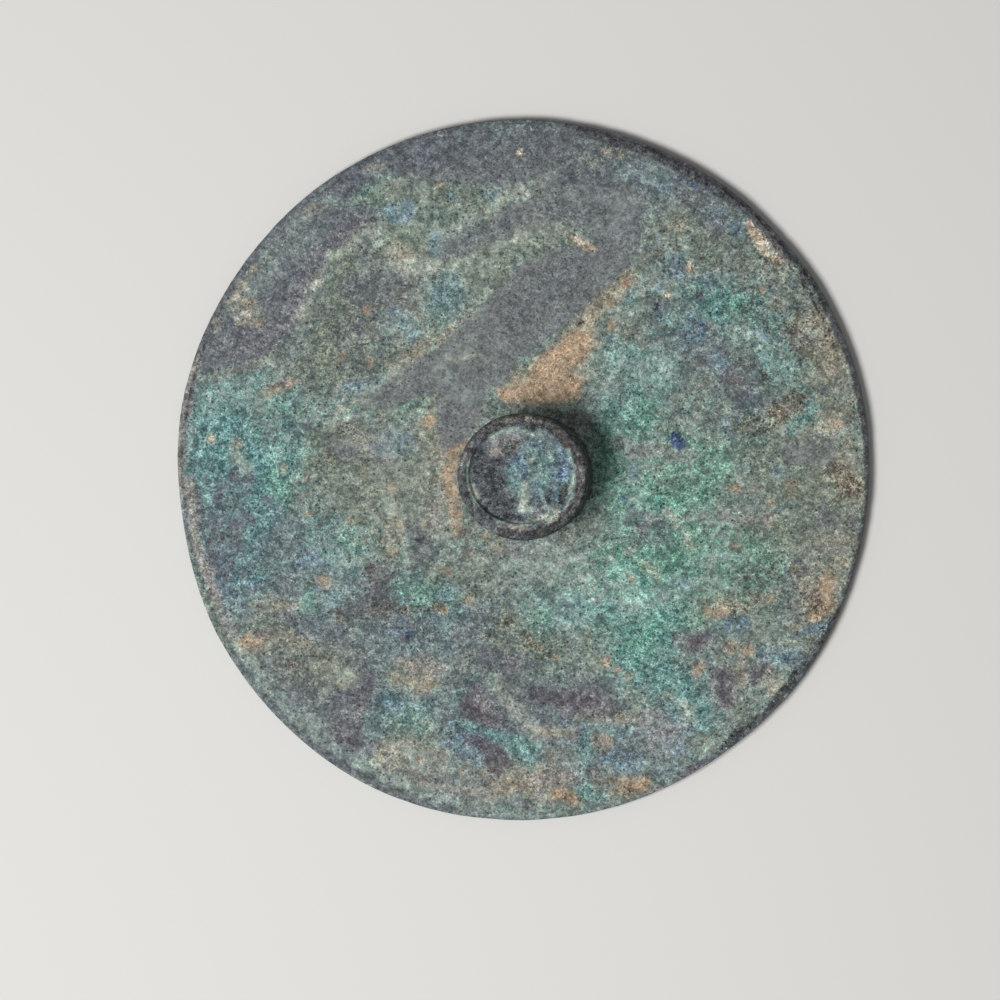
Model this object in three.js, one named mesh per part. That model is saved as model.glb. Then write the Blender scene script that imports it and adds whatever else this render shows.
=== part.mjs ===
// A bronze mirror, cast in one piece: a plain round disc with a rounded edge, and on its back a
// stout button-shaped knob with a sunk, corroded top. It lies on its flat reflecting face, knob up.
// Millimetres, +Z up. The origin is the middle of the reflecting face, on the surface it lies on.
import * as THREE from "three";

// Driving dimensions of the disc.
const DISC_RADIUS = 70;
const DISC_THICKNESS = 3.2;
const EDGE_RADIUS = 0.9; // rounds both corners of the edge
const FACE_RADIUS = DISC_RADIUS - EDGE_RADIUS;
const FACE_MIDDLE = FACE_RADIUS / 2;

// Driving dimensions of the knob.
const KNOB_HEIGHT = 13.6;
const KNOB_CAP_RADIUS = 12.9;
const KNOB_WAIST_RADIUS = 12.2;
const KNOB_FOOT_RADIUS = 13.8;
const KNOB_OFFSET = new THREE.Vector2(2.4, -0.8); // the knob was cast a little off the middle
const KNOB_OVAL = 0.018; // longer along X and shorter along Y, as a share of its radius
const FOOT_HEIGHT = 1.8;
const SHOULDER_HEIGHT = 1.7;
const SHOULDER_WIDTH = 1.1;
const BORDER_WIDTH = 1.2;
const SUNK_RADIUS = 10.1;
const SUNK_DEPTH = 0.9;
const SUNK_Y_SCALE = 0.95; // the sunk top is a little shorter along Y than the cap round it
const SUNK_SHIFT_Y = 0.5; // and lies a little towards +Y, so the border is wider at -Y

const EDGE_TOP_Z = DISC_THICKNESS - EDGE_RADIUS;
const KNOB_BASE_Z = DISC_THICKNESS;
const KNOB_TOP_Z = KNOB_BASE_Z + KNOB_HEIGHT;
const FOOT_Z = KNOB_BASE_Z + FOOT_HEIGHT;
const SHOULDER_Z = KNOB_TOP_Z - SHOULDER_HEIGHT;
const FLARE_Z = SHOULDER_Z - FOOT_HEIGHT; // the side bends out to the cap as gently as to the foot
const SUNK_Z = KNOB_TOP_Z - SUNK_DEPTH;
const BORDER_OUTER_RADIUS = KNOB_CAP_RADIUS - SHOULDER_WIDTH;
const BORDER_INNER_RADIUS = BORDER_OUTER_RADIUS - BORDER_WIDTH;
const BORDER_MIDDLE_RADIUS = (BORDER_OUTER_RADIUS + BORDER_INNER_RADIUS) / 2;

// How finely the round forms are faceted.
const SIDES = 120;
const ARC_STEPS = 4;
const FACE_RINGS = 3;
const SUNK_RINGS = 8;

// The cast outline isn't quite round: each wave adds to the radius of the edge, with its turn in radians.
const OUTLINE_WAVES = [
  { lobes: 2, height: 0.18, turn: 1.9 },
  { lobes: 3, height: 0.09, turn: 0.4 },
  { lobes: 5, height: 0.12, turn: 2.6 },
  { lobes: 9, height: 0.05, turn: 1.1 },
];

// Where use and burial have rubbed the edge down. Angles and spreads are in degrees, anticlockwise from +X.
const WORN_EDGES = [
  { angle: 188, spread: 9, depth: 0.55 },
  { angle: 43, spread: 5, depth: 0.35 },
  { angle: 305, spread: 12, depth: 0.3 },
];

// The worn relief in the knob's sunk top: low lumps and hollows, placed from the knob's own middle, each
// with a half length, a half width, a turn in degrees, and a height that is negative in a hollow.
const TOP_FORMS = [
  { x: -2.6, y: 7.9, length: 4.2, width: 1.6, turn: 17, height: 0.6 },
  { x: 0.5, y: -4.2, length: 3.2, width: 1.0, turn: 92, height: 0.65 },
  { x: 4.6, y: -7.2, length: 3.4, width: 1.4, turn: 22, height: 0.55 },
  { x: -5.2, y: 4.3, length: 1.9, width: 1.6, turn: 0, height: 0.4 },
  { x: -8.6, y: -3.2, length: 2.6, width: 0.9, turn: 112, height: 0.45 },
  { x: 7.2, y: 1.4, length: 3.0, width: 1.8, turn: 100, height: -0.45 },
  { x: 7.9, y: -4.0, length: 2.1, width: 0.9, turn: 70, height: -0.6 },
  { x: -4.7, y: -0.8, length: 1.7, width: 1.2, turn: 30, height: -0.5 },
  { x: 1.0, y: 1.6, length: 3.4, width: 2.4, turn: 140, height: 0.25 },
];
const RELIEF_FADE_POWER = 6; // how late the relief dies away towards the wall of the sunk top

// The outline that is turned about Z, from the middle of the reflecting face to that of the knob's top.
function mirrorProfile() {
  const profile = new THREE.Path();
  profile.moveTo(0, 0);
  profile.lineTo(FACE_MIDDLE, 0);
  profile.lineTo(FACE_RADIUS, 0);
  profile.quadraticCurveTo(DISC_RADIUS, 0, DISC_RADIUS, EDGE_RADIUS);
  profile.lineTo(DISC_RADIUS, EDGE_TOP_Z);
  profile.quadraticCurveTo(DISC_RADIUS, KNOB_BASE_Z, FACE_RADIUS, KNOB_BASE_Z);
  for (let ring = 1; ring < FACE_RINGS; ring++) {
    const radius = THREE.MathUtils.lerp(FACE_RADIUS, KNOB_FOOT_RADIUS, ring / FACE_RINGS);
    profile.lineTo(radius, KNOB_BASE_Z);
  }
  profile.lineTo(KNOB_FOOT_RADIUS, KNOB_BASE_Z);
  profile.quadraticCurveTo(KNOB_WAIST_RADIUS, KNOB_BASE_Z, KNOB_WAIST_RADIUS, FOOT_Z);
  profile.quadraticCurveTo(KNOB_WAIST_RADIUS, FLARE_Z, KNOB_CAP_RADIUS, SHOULDER_Z);
  profile.quadraticCurveTo(KNOB_CAP_RADIUS, KNOB_TOP_Z, BORDER_OUTER_RADIUS, KNOB_TOP_Z);
  profile.lineTo(BORDER_INNER_RADIUS, KNOB_TOP_Z);
  for (let ring = 0; ring <= SUNK_RINGS; ring++) {
    profile.lineTo(SUNK_RADIUS * (1 - ring / SUNK_RINGS), SUNK_Z);
  }
  return profile.getPoints(ARC_STEPS);
}

// How far the real edge stands out from a true circle, at an angle in radians.
function outlineError(angle) {
  const waves = OUTLINE_WAVES.map((wave) => wave.height * Math.cos(wave.lobes * angle - wave.turn));
  const worn = WORN_EDGES.map((place) => {
    const away = Math.cos(angle - THREE.MathUtils.degToRad(place.angle)) - 1;
    return -place.depth * Math.exp(away / THREE.MathUtils.degToRad(place.spread) ** 2);
  });
  return [...waves, ...worn].reduce((sum, value) => sum + value, 0);
}

// The height of the worn relief at a point of the knob's sunk top, from the knob's own middle.
function topRelief(x, y) {
  const relief = TOP_FORMS.reduce((sum, form) => {
    const turn = THREE.MathUtils.degToRad(form.turn);
    const along = ((x - form.x) * Math.cos(turn) + (y - form.y) * Math.sin(turn)) / form.length;
    const across = ((y - form.y) * Math.cos(turn) - (x - form.x) * Math.sin(turn)) / form.width;
    return sum + form.height * Math.exp(-(along ** 2) - across ** 2);
  }, 0);
  return relief * (1 - (Math.hypot(x, y) / SUNK_RADIUS) ** RELIEF_FADE_POWER);
}

// How much a point belongs to the knob: 1 on it, falling evenly to 0 at the rim of the disc's back.
function knobShare(radius, height) {
  const share = (FACE_RADIUS - radius) / (FACE_RADIUS - KNOB_FOOT_RADIUS);
  return height > DISC_THICKNESS / 2 ? THREE.MathUtils.clamp(share, 0, 1) : 0;
}

// Moves one point of the true turned form to where the cast and worn object has it.
function castPoint(point) {
  const radius = Math.hypot(point.x, point.y);
  const angle = Math.atan2(point.y, point.x);
  const nearEdge = THREE.MathUtils.smoothstep(radius, FACE_MIDDLE, FACE_RADIUS);
  const nearKnob = knobShare(radius, point.z);
  const oval = nearKnob * Math.min(radius, KNOB_FOOT_RADIUS) * KNOB_OVAL * Math.cos(2 * angle);
  const grown = radius + nearEdge * outlineError(angle) + oval;
  const across = grown * Math.sin(angle);
  const insideBorder = point.z > SHOULDER_Z && radius < BORDER_MIDDLE_RADIUS;
  const inSunkTop = insideBorder && radius < SUNK_RADIUS;
  return new THREE.Vector3(
    grown * Math.cos(angle) + nearKnob * KNOB_OFFSET.x,
    (insideBorder ? across * SUNK_Y_SCALE + SUNK_SHIFT_Y : across) + nearKnob * KNOB_OFFSET.y,
    point.z + (inSunkTop ? topRelief(point.x, point.y) : 0),
  );
}

function mirrorGeometry() {
  const geometry = new THREE.LatheGeometry(mirrorProfile(), SIDES);
  geometry.rotateX(Math.PI / 2);
  const places = geometry.getAttribute("position");
  const point = new THREE.Vector3();
  for (let i = 0; i < places.count; i++) {
    point.fromBufferAttribute(places, i);
    places.setXYZ(i, ...castPoint(point));
  }
  geometry.computeVertexNormals();
  return geometry;
}

const bronze = new THREE.MeshStandardMaterial({ color: 0x6f7f76, roughness: 0.82, metalness: 0.25 });

const mirror = new THREE.Mesh(mirrorGeometry(), bronze);
mirror.name = "mirror";

const part = new THREE.Group();
part.add(mirror);

export default part;
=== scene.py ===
"""A patinated bronze mirror that lies on its reflecting face, knob up.

The mirror is one cast solid, so it is one piece: a closed skin of rings that follows the turned
outline from the middle of the reflecting face, round the edge, over the back and up the knob to the
middle of its sunk top. The patina is a chart of strokes laid on that skin, one pigment each; some of
the strokes are painted shade and painted highlights on the knob, beside it and on the rim, and some
broad fields darken or lighten wide areas. How much of each pigment lies at a vertex is stored on the
mesh, where it shapes the low relief, and the material breaks the same amounts up into grains.

Lengths are in millimetres up to the point where a mesh, a lamp or the camera is made in metres.
"""

from __future__ import annotations

import itertools
import logging
from dataclasses import dataclass
from enum import Enum
from typing import Any, Callable

import bpy
import numpy as np
from mathutils import Matrix, Vector


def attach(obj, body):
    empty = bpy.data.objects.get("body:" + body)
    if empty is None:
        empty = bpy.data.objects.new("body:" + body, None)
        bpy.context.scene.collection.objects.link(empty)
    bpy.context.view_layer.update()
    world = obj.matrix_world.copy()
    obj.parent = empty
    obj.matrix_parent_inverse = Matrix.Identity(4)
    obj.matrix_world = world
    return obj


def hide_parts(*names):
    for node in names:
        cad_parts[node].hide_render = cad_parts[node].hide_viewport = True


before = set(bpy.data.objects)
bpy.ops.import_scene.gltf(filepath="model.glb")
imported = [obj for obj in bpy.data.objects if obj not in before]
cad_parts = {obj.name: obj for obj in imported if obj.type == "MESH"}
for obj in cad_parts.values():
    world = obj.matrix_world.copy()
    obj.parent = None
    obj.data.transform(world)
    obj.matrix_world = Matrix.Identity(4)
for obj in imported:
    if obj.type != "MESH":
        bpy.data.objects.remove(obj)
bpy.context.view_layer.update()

LOG = logging.getLogger("mirror")
MM = 0.001
NODE = "mirror"

Array = np.ndarray
Socket = bpy.types.NodeSocket
Colour = tuple[int, int, int]
Knot = tuple[float, float, float]


class Pigment(Enum):
    """What the corroded skin is made of, in the order in which the material lays one over another. The dark, black and
    pale pigments also serve for painted shade and painted highlights.
    """

    OLIVE = 0
    TEAL = 1
    EMERALD = 2
    AZURE = 3
    TAN = 4
    ORANGE = 5
    BARE = 6
    DARK = 7
    VIOLET = 8
    PALE = 9
    CREAM = 10
    INDIGO = 11
    BROWN = 12
    LILAC = 13
    # Near-black: black specks and stains of the patina, and also painted shade on the knob's side and foot, on the
    # shaded half of its ring and on the rim's right side.
    SOOT = 14

    @property
    def layer(self) -> str:
        """The name of the mesh attribute that carries this pigment."""
        return f"patina_{self.value // 3}"

    @property
    def channel(self) -> int:
        """Which of that attribute's three numbers is this pigment's."""
        return self.value % 3


class Zone(Enum):
    """The stretches of the mirror's turned outline, from the reflecting face to the knob's top."""

    FACE = 0
    EDGE = 1
    RIM = 2
    BACK = 3
    FOOT = 4
    SIDE = 5
    SHOULDER = 6
    BORDER = 7
    WALL = 8
    WELL = 9


def smoothstep(low: float, high: float, value: Array) -> Array:
    """Rises from 0 at low to 1 at high, level at both ends.

    Args:
        low: The value at which the rise starts.
        high: The value at which it ends.
        value: Where it is read.

    Returns:
        The share of the rise, t squared times (3 - 2t).
    """
    t = np.clip((value - low) / (high - low), 0.0, 1.0)
    return t * t * (3.0 - 2.0 * t)


@dataclass(frozen=True)
class Turbulence:
    """Smooth random relief about 0, as gradient noise summed over octaves.

    Every corner of a cubic lattice has a random direction. A point gets the distance to each corner of
    its cell along that corner's direction, blended by t cubed times (t(6t - 15) + 10) along each axis.
    """

    seed: int
    length: float
    octaves: int = 3
    keep: float = 0.5
    SIDE = 32
    SPREAD = 1.7

    def __call__(self, points: Array) -> Array:
        """Reads the relief.

        Args:
            points: Places in millimetres, one row each.

        Returns:
            One height for each place, mostly between -1 and 1.
        """
        directions = np.random.default_rng(self.seed).normal(size=(self.SIDE,) * 3 + (3,))
        directions /= np.linalg.norm(directions, axis=-1, keepdims=True)
        total = np.zeros(len(points))
        weight, weights = 1.0, 0.0
        for octave in range(self.octaves):
            total += weight * self._octave(points / self.length * 2.0**octave, directions)
            weights += weight**2
            weight *= self.keep
        return self.SPREAD * total / np.sqrt(weights)

    @staticmethod
    def _octave(places: Array, directions: Array) -> Array:
        """One octave of the noise, at places measured in lattice cells."""
        cell = np.floor(places).astype(int)
        offset = places - cell
        fade = offset**3 * (offset * (6.0 * offset - 15.0) + 10.0)
        total = np.zeros(len(places))
        for corner in itertools.product((0, 1), repeat=3):
            index = (cell + corner) % len(directions)
            direction = directions[index[:, 0], index[:, 1], index[:, 2]]
            share = np.prod(np.where(np.array(corner) == 1, fade, 1.0 - fade), axis=1)
            total += share * np.einsum("ij,ij->i", direction, offset - corner)
        return total


@dataclass(frozen=True)
class Stroke:
    """One stroke of a pigment: a band that runs from knot to knot, each with its own half width."""

    pigment: Pigment
    soft: float
    strength: float
    knots: tuple[Knot, ...]

    def cover(self, points: Array) -> Array:
        """How much of the stroke lies at each point.

        For each stretch between two knots, the nearest place on the line is found, and the half width
        there less the distance to it is how deep the point lies inside. The deepest stretch counts.

        Args:
            points: Places in the chart's plane, one row each.

        Returns:
            Amounts from 0 to the stroke's strength.
        """
        depth = np.full(len(points), -np.inf)
        ends = self.knots[1:] or self.knots
        for (ax, ay, ar), (bx, by, br) in zip(self.knots, ends):
            start, run = np.array((ax, ay)), np.array((bx - ax, by - ay))
            along = np.clip((points - start) @ run / max(run @ run, 1e-9), 0.0, 1.0)
            away = np.linalg.norm(points - start - along[:, None] * run, axis=1)
            depth = np.maximum(depth, ar + along * (br - ar) - away)
        return self.strength * smoothstep(-self.soft / 2.0, self.soft / 2.0, depth)


def strokes(pigment: Pigment, soft: float, strength: float, *paths: tuple[Knot, ...]) -> list[Stroke]:
    """Strokes of one pigment that share their softness and strength.

    Args:
        pigment: What they are painted with.
        soft: The width of their blurred border.
        strength: The most that lies in their middle.
        paths: The knots of each stroke, as x, y and half width.

    Returns:
        The strokes.
    """
    return [Stroke(pigment, soft, strength, path) for path in paths]


def dabs(pigment: Pigment, soft: float, strength: float, *knots: Knot) -> list[Stroke]:
    """Round dabs of one pigment, each with its own place and half width."""
    return strokes(pigment, soft, strength, *((knot,) for knot in knots))


@dataclass(frozen=True)
class Chart:
    """A plane of the mirror with the strokes that lie on it."""

    marks: tuple[Stroke, ...]
    ground: dict[Pigment, tuple[float, float]]
    seed: int
    origin: tuple[float, float] = (0.0, 0.0)
    wander: float = 1.0
    patch_size: float = 9.0

    def amounts(self, points: Array) -> Array:
        """How much of each pigment lies at each point.

        The points are first pushed about by turbulence, which gives the strokes ragged outlines. The
        ground is a mixture: each of its pigments has a part, times e to the power of its swing times
        broad turbulence, and the parts are made to add up to 1. A stroke hides its share of all that
        lies there and puts its own pigment in its place.

        Args:
            points: Places in three dimensions, one row each.

        Returns:
            One row for each point and one column for each pigment, which adds up to 1.
        """
        plane = self._stirred(points)
        amounts = np.zeros((len(points), len(Pigment)))
        for pigment, (part, swing) in self.ground.items():
            broad = Turbulence(self.seed + 10 + pigment.value, self.patch_size, 4, 0.7)(points)
            amounts[:, pigment.value] = part * np.exp(swing * broad)
        amounts /= amounts.sum(axis=1, keepdims=True)
        for mark in self.marks:
            cover = mark.cover(plane)
            amounts *= 1.0 - cover[:, None]
            amounts[:, mark.pigment.value] += cover
        return amounts

    def _stirred(self, points: Array) -> Array:
        """The points' x and y, pushed about by turbulence of a coarse and a fine length."""
        push = [
            0.6 * Turbulence(self.seed + axis, 8.0, 2)(points)
            + 0.55 * Turbulence(self.seed + 2 + axis, 2.6, 3, 0.7)(points)
            for axis in range(2)
        ]
        return points[:, :2] - self.origin + self.wander * np.stack(push, axis=1)


P = Pigment

UNDERCOAT = [
    *strokes(
        P.TEAL, 8.0, 0.6,
        ((-61, 12, 6.0), (-58, -2, 10.0), (-58, -14, 9.0), (-55, -25, 5.0)),
        ((20, 8, 4.0), (20, -4, 5.0), (26, -12, 9.0), (24, -24, 10.0), (25, -36, 8.0), (32, -45, 5.0)),
        ((44, 31, 6.0), (52, 20, 4.0)),
        ((-35, -15, 5.0),),
    ),
    *strokes(
        P.EMERALD, 8.0, 0.55,
        ((18, 6, 3.0), (19, -4, 4.0), (28, -9, 8.0), (33, -16, 6.0), (22, -18, 5.0)),
        ((30, 3, 5.0), (38, 1, 5.0), (36, -6, 4.0)),
        ((42, -15, 5.0), (49, -20, 5.0)),
        ((24, -30, 6.0), (34, -30, 4.0)),
    ),
    *strokes(
        P.AZURE, 8.0, 0.28,
        ((-60, 8, 7.0), (-57, -10, 9.0), (-52, -25, 8.0), (-40, -20, 7.0)),
        ((-13, -26, 8.0), (-25, -33, 7.0)),
        ((-30, -49, 6.0), (28, -56, 6.0)),
    ),
    *strokes(
        P.TAN, 8.0, 0.4,
        ((-30, 6, 6.0), (-24, -2, 7.0), (-19, -9, 5.0)),
        ((-25, 42, 4.0), (-22, 23, 4.0)),
        ((60, 24, 5.0), (62, 8, 5.0), (63, -8, 5.0), (60, -24, 5.0)),
        ((-52, -34, 5.0), (-40, -41, 5.0)),
        ((-24, -58, 5.0), (-8, -62, 4.0), (6, -60, 4.0)),
        ((-19, 12, 4.0), (-17, 4, 2.0)),
    ),
    *strokes(P.LILAC, 8.0, 0.3, ((-26, 3, 6.0), (-19, -7, 5.0)), ((-17, 5, 2.0),), ((28, -52, 5.0),)),
    *strokes(
        P.DARK, 8.0, 0.55,
        ((-28, -24, 5.0), (-25, -32, 7.0), (-36, -38, 4.0)),
        ((-48, -46, 5.0), (-38, -52, 7.0), (-32, -46, 5.0)),
        ((-10, -37, 5.0), (-9, -48, 7.0), (6, -46, 7.0), (15, -44, 4.0)),
        ((-24, 63, 4.0), (-8, 62, 6.0), (8, 63, 5.0), (24, 60, 5.0), (36, 53, 5.0), (41, 48, 5.0)),
        ((32, 28, 6.0), (42, 20, 5.0), (47, 12, 5.0)),
        ((-46, -13, 4.0), (-60, -20, 4.0)),
        ((4, -36, 5.0), (-14, -30, 4.0)),
        ((-48, 9, 3.0), (-34, 38, 5.0)),
    ),
    *strokes(P.PALE, 8.0, 0.3, ((2, -20, 6.0), (13, -24, 6.0)), ((-25, 9, 3.0), (-22, 5, 3.0)), ((20, 8, 2.0),)),
]

GREEN_CRUST = [
    *strokes(
        P.OLIVE, 3.0, 0.75,
        ((-37, 42, 2.6), (-34, 37, 5.0), (-33, 31, 6.0), (-36, 25, 6.5), (-42, 19, 4.5)),
        ((-36, 25, 6.5), (-33, 20, 4.5)),
        ((-29, 55.5, 2.6), (-21, 55.8, 3.0), (-14, 54.5, 3.0), (-9, 54.5, 2.6)),
        ((-25, 47, 3.2), (-19, 46, 2.6)),
        ((-14, 41.5, 1.5), (-8, 42.5, 2.8), (-1, 44.5, 2.6), (6, 47.2, 1.9), (11, 46.5, 1.6), (14, 44.8, 1.9)),
        ((-9, 38, 3.4), (-4, 41, 2.6)),
        ((-25, 12.5, 2.2), (-20, 14.2, 2.8), (-17.5, 10.5, 1.8), (-19.5, 7.5, 2.0)),
        ((-40, 3, 5.0), (-32, -4, 6.0), (-24, -6, 6.0), (-20, 2, 4.0)),
        ((-50, -30, 4.0), (-45, -38, 4.0), (-37, -41, 4.0)),
        ((-25, -51, 3.5), (-20, -52, 3.0)),
        ((-3, -32, 4.0), (5, -36, 4.0)),
        ((48, 8, 5.0), (52, 0, 5.0), (60, -5, 5.0), (55, -12, 5.0), (46, -13, 4.0)),
        ((31, 49, 2.2), (39, 44, 3.0)),
        ((58, 21, 3.0), (60, 14, 2.6)),
        ((-36, 54, 1.8), (-31, 54.5, 2.2)),
        ((-18, -22, 4.0), (-8, -22, 4.0)),
        ((38, -26, 3.0), (47, -26, 3.0)),
    ),
    *strokes(
        P.TEAL, 2.0, 0.75,
        ((-65, 14.5, 2.0), (-58, 16.8, 2.4), (-53, 18, 1.8)),
        ((56, 16, 1.3), (58.5, 12.5, 1.0), (54, 8.5, 1.2)),
        ((12.6, -53, 1.4), (12.4, -59, 1.4), (11.5, -62.5, 2.0), (15, -64.5, 1.8)),
        ((-14, -50.6, 0.7), (-8, -51.6, 1.1), (-4, -53.4, 1.4), (1, -56, 2.8)),
        ((-13.6, -45.6, 0.7), (-9, -40.6, 0.6)),
        ((14, -50.5, 0.9), (18, -52, 1.2), (22, -51, 0.8)),
        ((40, 33, 3.4),),
    ),
    *strokes(
        P.TEAL, 5.0, 0.75,
        ((-61, 9, 6.0), (-58, 0, 8.5), (-58, -10, 7.5), (-58, -18, 5.5)),
        ((-48, 12, 3.0), (-47, 4, 4.0), (-49, -3, 4.0)),
        ((20, 22, 3.5), (27, 20, 4.0), (24, 13, 5.0), (18, 12, 3.0)),
        ((36, 34, 4.0), (44, 32, 4.0), (48, 25, 3.5)),
        ((14, -27, 5.0), (22, -25, 5.0), (26, -30, 6.0), (23, -37, 6.0), (29, -41, 4.2), (35, -46, 3.4), (37, -50, 2.4)),
        ((54, 21, 2.6),),
    ),
    *strokes(
        P.TEAL, 6.0, 0.5,
        ((-42, -12, 5.0), (-35, -15, 4.5)),
        ((-30, -49, 3.0), (-22, -49, 3.5)),
        ((30, 28, 4.0),),
        ((5, -28, 5.0), (13, -24, 4.0)),
        ((-22, -24, 3.5), (-16, -27, 4.0)),
        ((-35, 56, 3.0), (-14, 66, 1.6), (2, 66.5, 1.6)),
        ((-25, 6, 2.5), (-15.5, 36.5, 2.4)),
    ),
    *strokes(
        P.EMERALD, 4.0, 0.55,
        ((16.8, 8, 2.2), (17.4, 2, 2.8), (17.8, -4, 2.2)),
        ((24.5, 13, 2.2), (23.5, 8, 2.4)),
        ((24, -4, 1.8), (30, -6, 2.6), (38, -0.5, 2.0), (34, -4, 2.4)),
        ((29.2, -7.6, 1.5), (34.7, -14.7, 1.8), (31, -17.5, 2.0)),
        ((16.5, -17, 1.6), (20.5, -18.8, 2.0), (24, -15.5, 1.6)),
        ((45, -15, 2.4), (50, -19, 3.0), (47, -22, 2.4)),
        ((43, 32.5, 1.8),),
        ((-50, 13.5, 2.0),),
        ((-59, -5, 1.2), (-58.5, -9, 1.3)),
        ((-50, -1.7, 1.5), (-48.5, -4.8, 1.3)),
        ((-34.2, -15, 1.6),),
        ((-44, -24.5, 1.0), (-43.3, -27.5, 1.3)),
        ((-24, -23.5, 2.2), (-21, -26, 2.2)),
        ((3.6, -29, 1.6),),
        ((26, -31, 2.0), (22, -36, 2.0)),
    ),
]

BLUE_CRUST = [
    *strokes(
        P.AZURE, 2.0, 0.6,
        ((-27, 51.6, 1.6), (-23, 52, 1.8)),
        ((-26, 51, 1.2), (-23.5, 51, 1.2)),
        ((-17.5, 46.5, 1.2), (-17.5, 44, 1.0)),
        ((-26.5, 32, 1.2), (-24, 29.5, 2.2), (-22.5, 26.5, 1.4)),
        ((-35, 16.4, 1.1), (-31, 17.4, 1.1)),
        ((-44.5, -18.2, 1.4), (-42, -17.3, 1.1)),
        ((30.5, 42, 1.8), (31.5, 39.5, 1.5)),
        ((-1, 5, 1.0), (-3, 6, 0.6)),
        ((60, -30.6, 1.4), (57.5, -31.5, 0.9)),
        ((41.5, -29.6, 1.8), (44.5, -30, 1.4)),
        ((48, -36.4, 1.4), (56, -37, 1.4)),
        ((18, -57.4, 2.2), (23, -57.6, 1.8)),
    ),
    *dabs(
        P.AZURE, 2.0, 0.45,
        (-13.7, 54.8, 1.4), (-6.4, 54.3, 1.0), (-54, -23.4, 1.3), (-35.2, -22.5, 1.3), (-24.4, -31.6, 2.2),
        (37.3, 38, 1.4), (27.8, 31.7, 1.6), (17.3, 26, 1.3), (38.5, 51.5, 1.5), (43, 48.5, 1.6),
        (20.5, 36, 0.8), (-15, -23.8, 1.8), (9.6, -27.5, 2.4), (32.3, -21.8, 1.4), (31.5, -55, 1.8),
        (-28.1, -46.2, 2.2), (-25.6, -47.2, 1.6), (51, 0, 1.1), (40.3, 8.9, 1.1), (22.9, 0.2, 1.6),
        (39.2, 22, 2.2), (46, 13.8, 2.4), (28, 36.5, 1.0), (2.1, -49.7, 0.5), (47.5, 27.5, 1.2),
    ),
    *strokes(
        P.AZURE, 5.0, 0.4,
        ((-15, 35, 3.0),),
        ((-10, -56, 3.6), (-13, -53, 2.4)),
        ((-62, -17, 2.6), (-60, -24, 2.6)),
        ((31, -50, 4.0),),
        ((-24, 6, 2.4), (-29, 4, 1.6)),
        ((22, 58, 3.0), (29, 58, 2.6)),
        ((15, 50, 4.0), (20, 46, 3.0)),
        ((-42, -31, 3.6),),
        ((34, 27, 3.0),),
    ),
]

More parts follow.
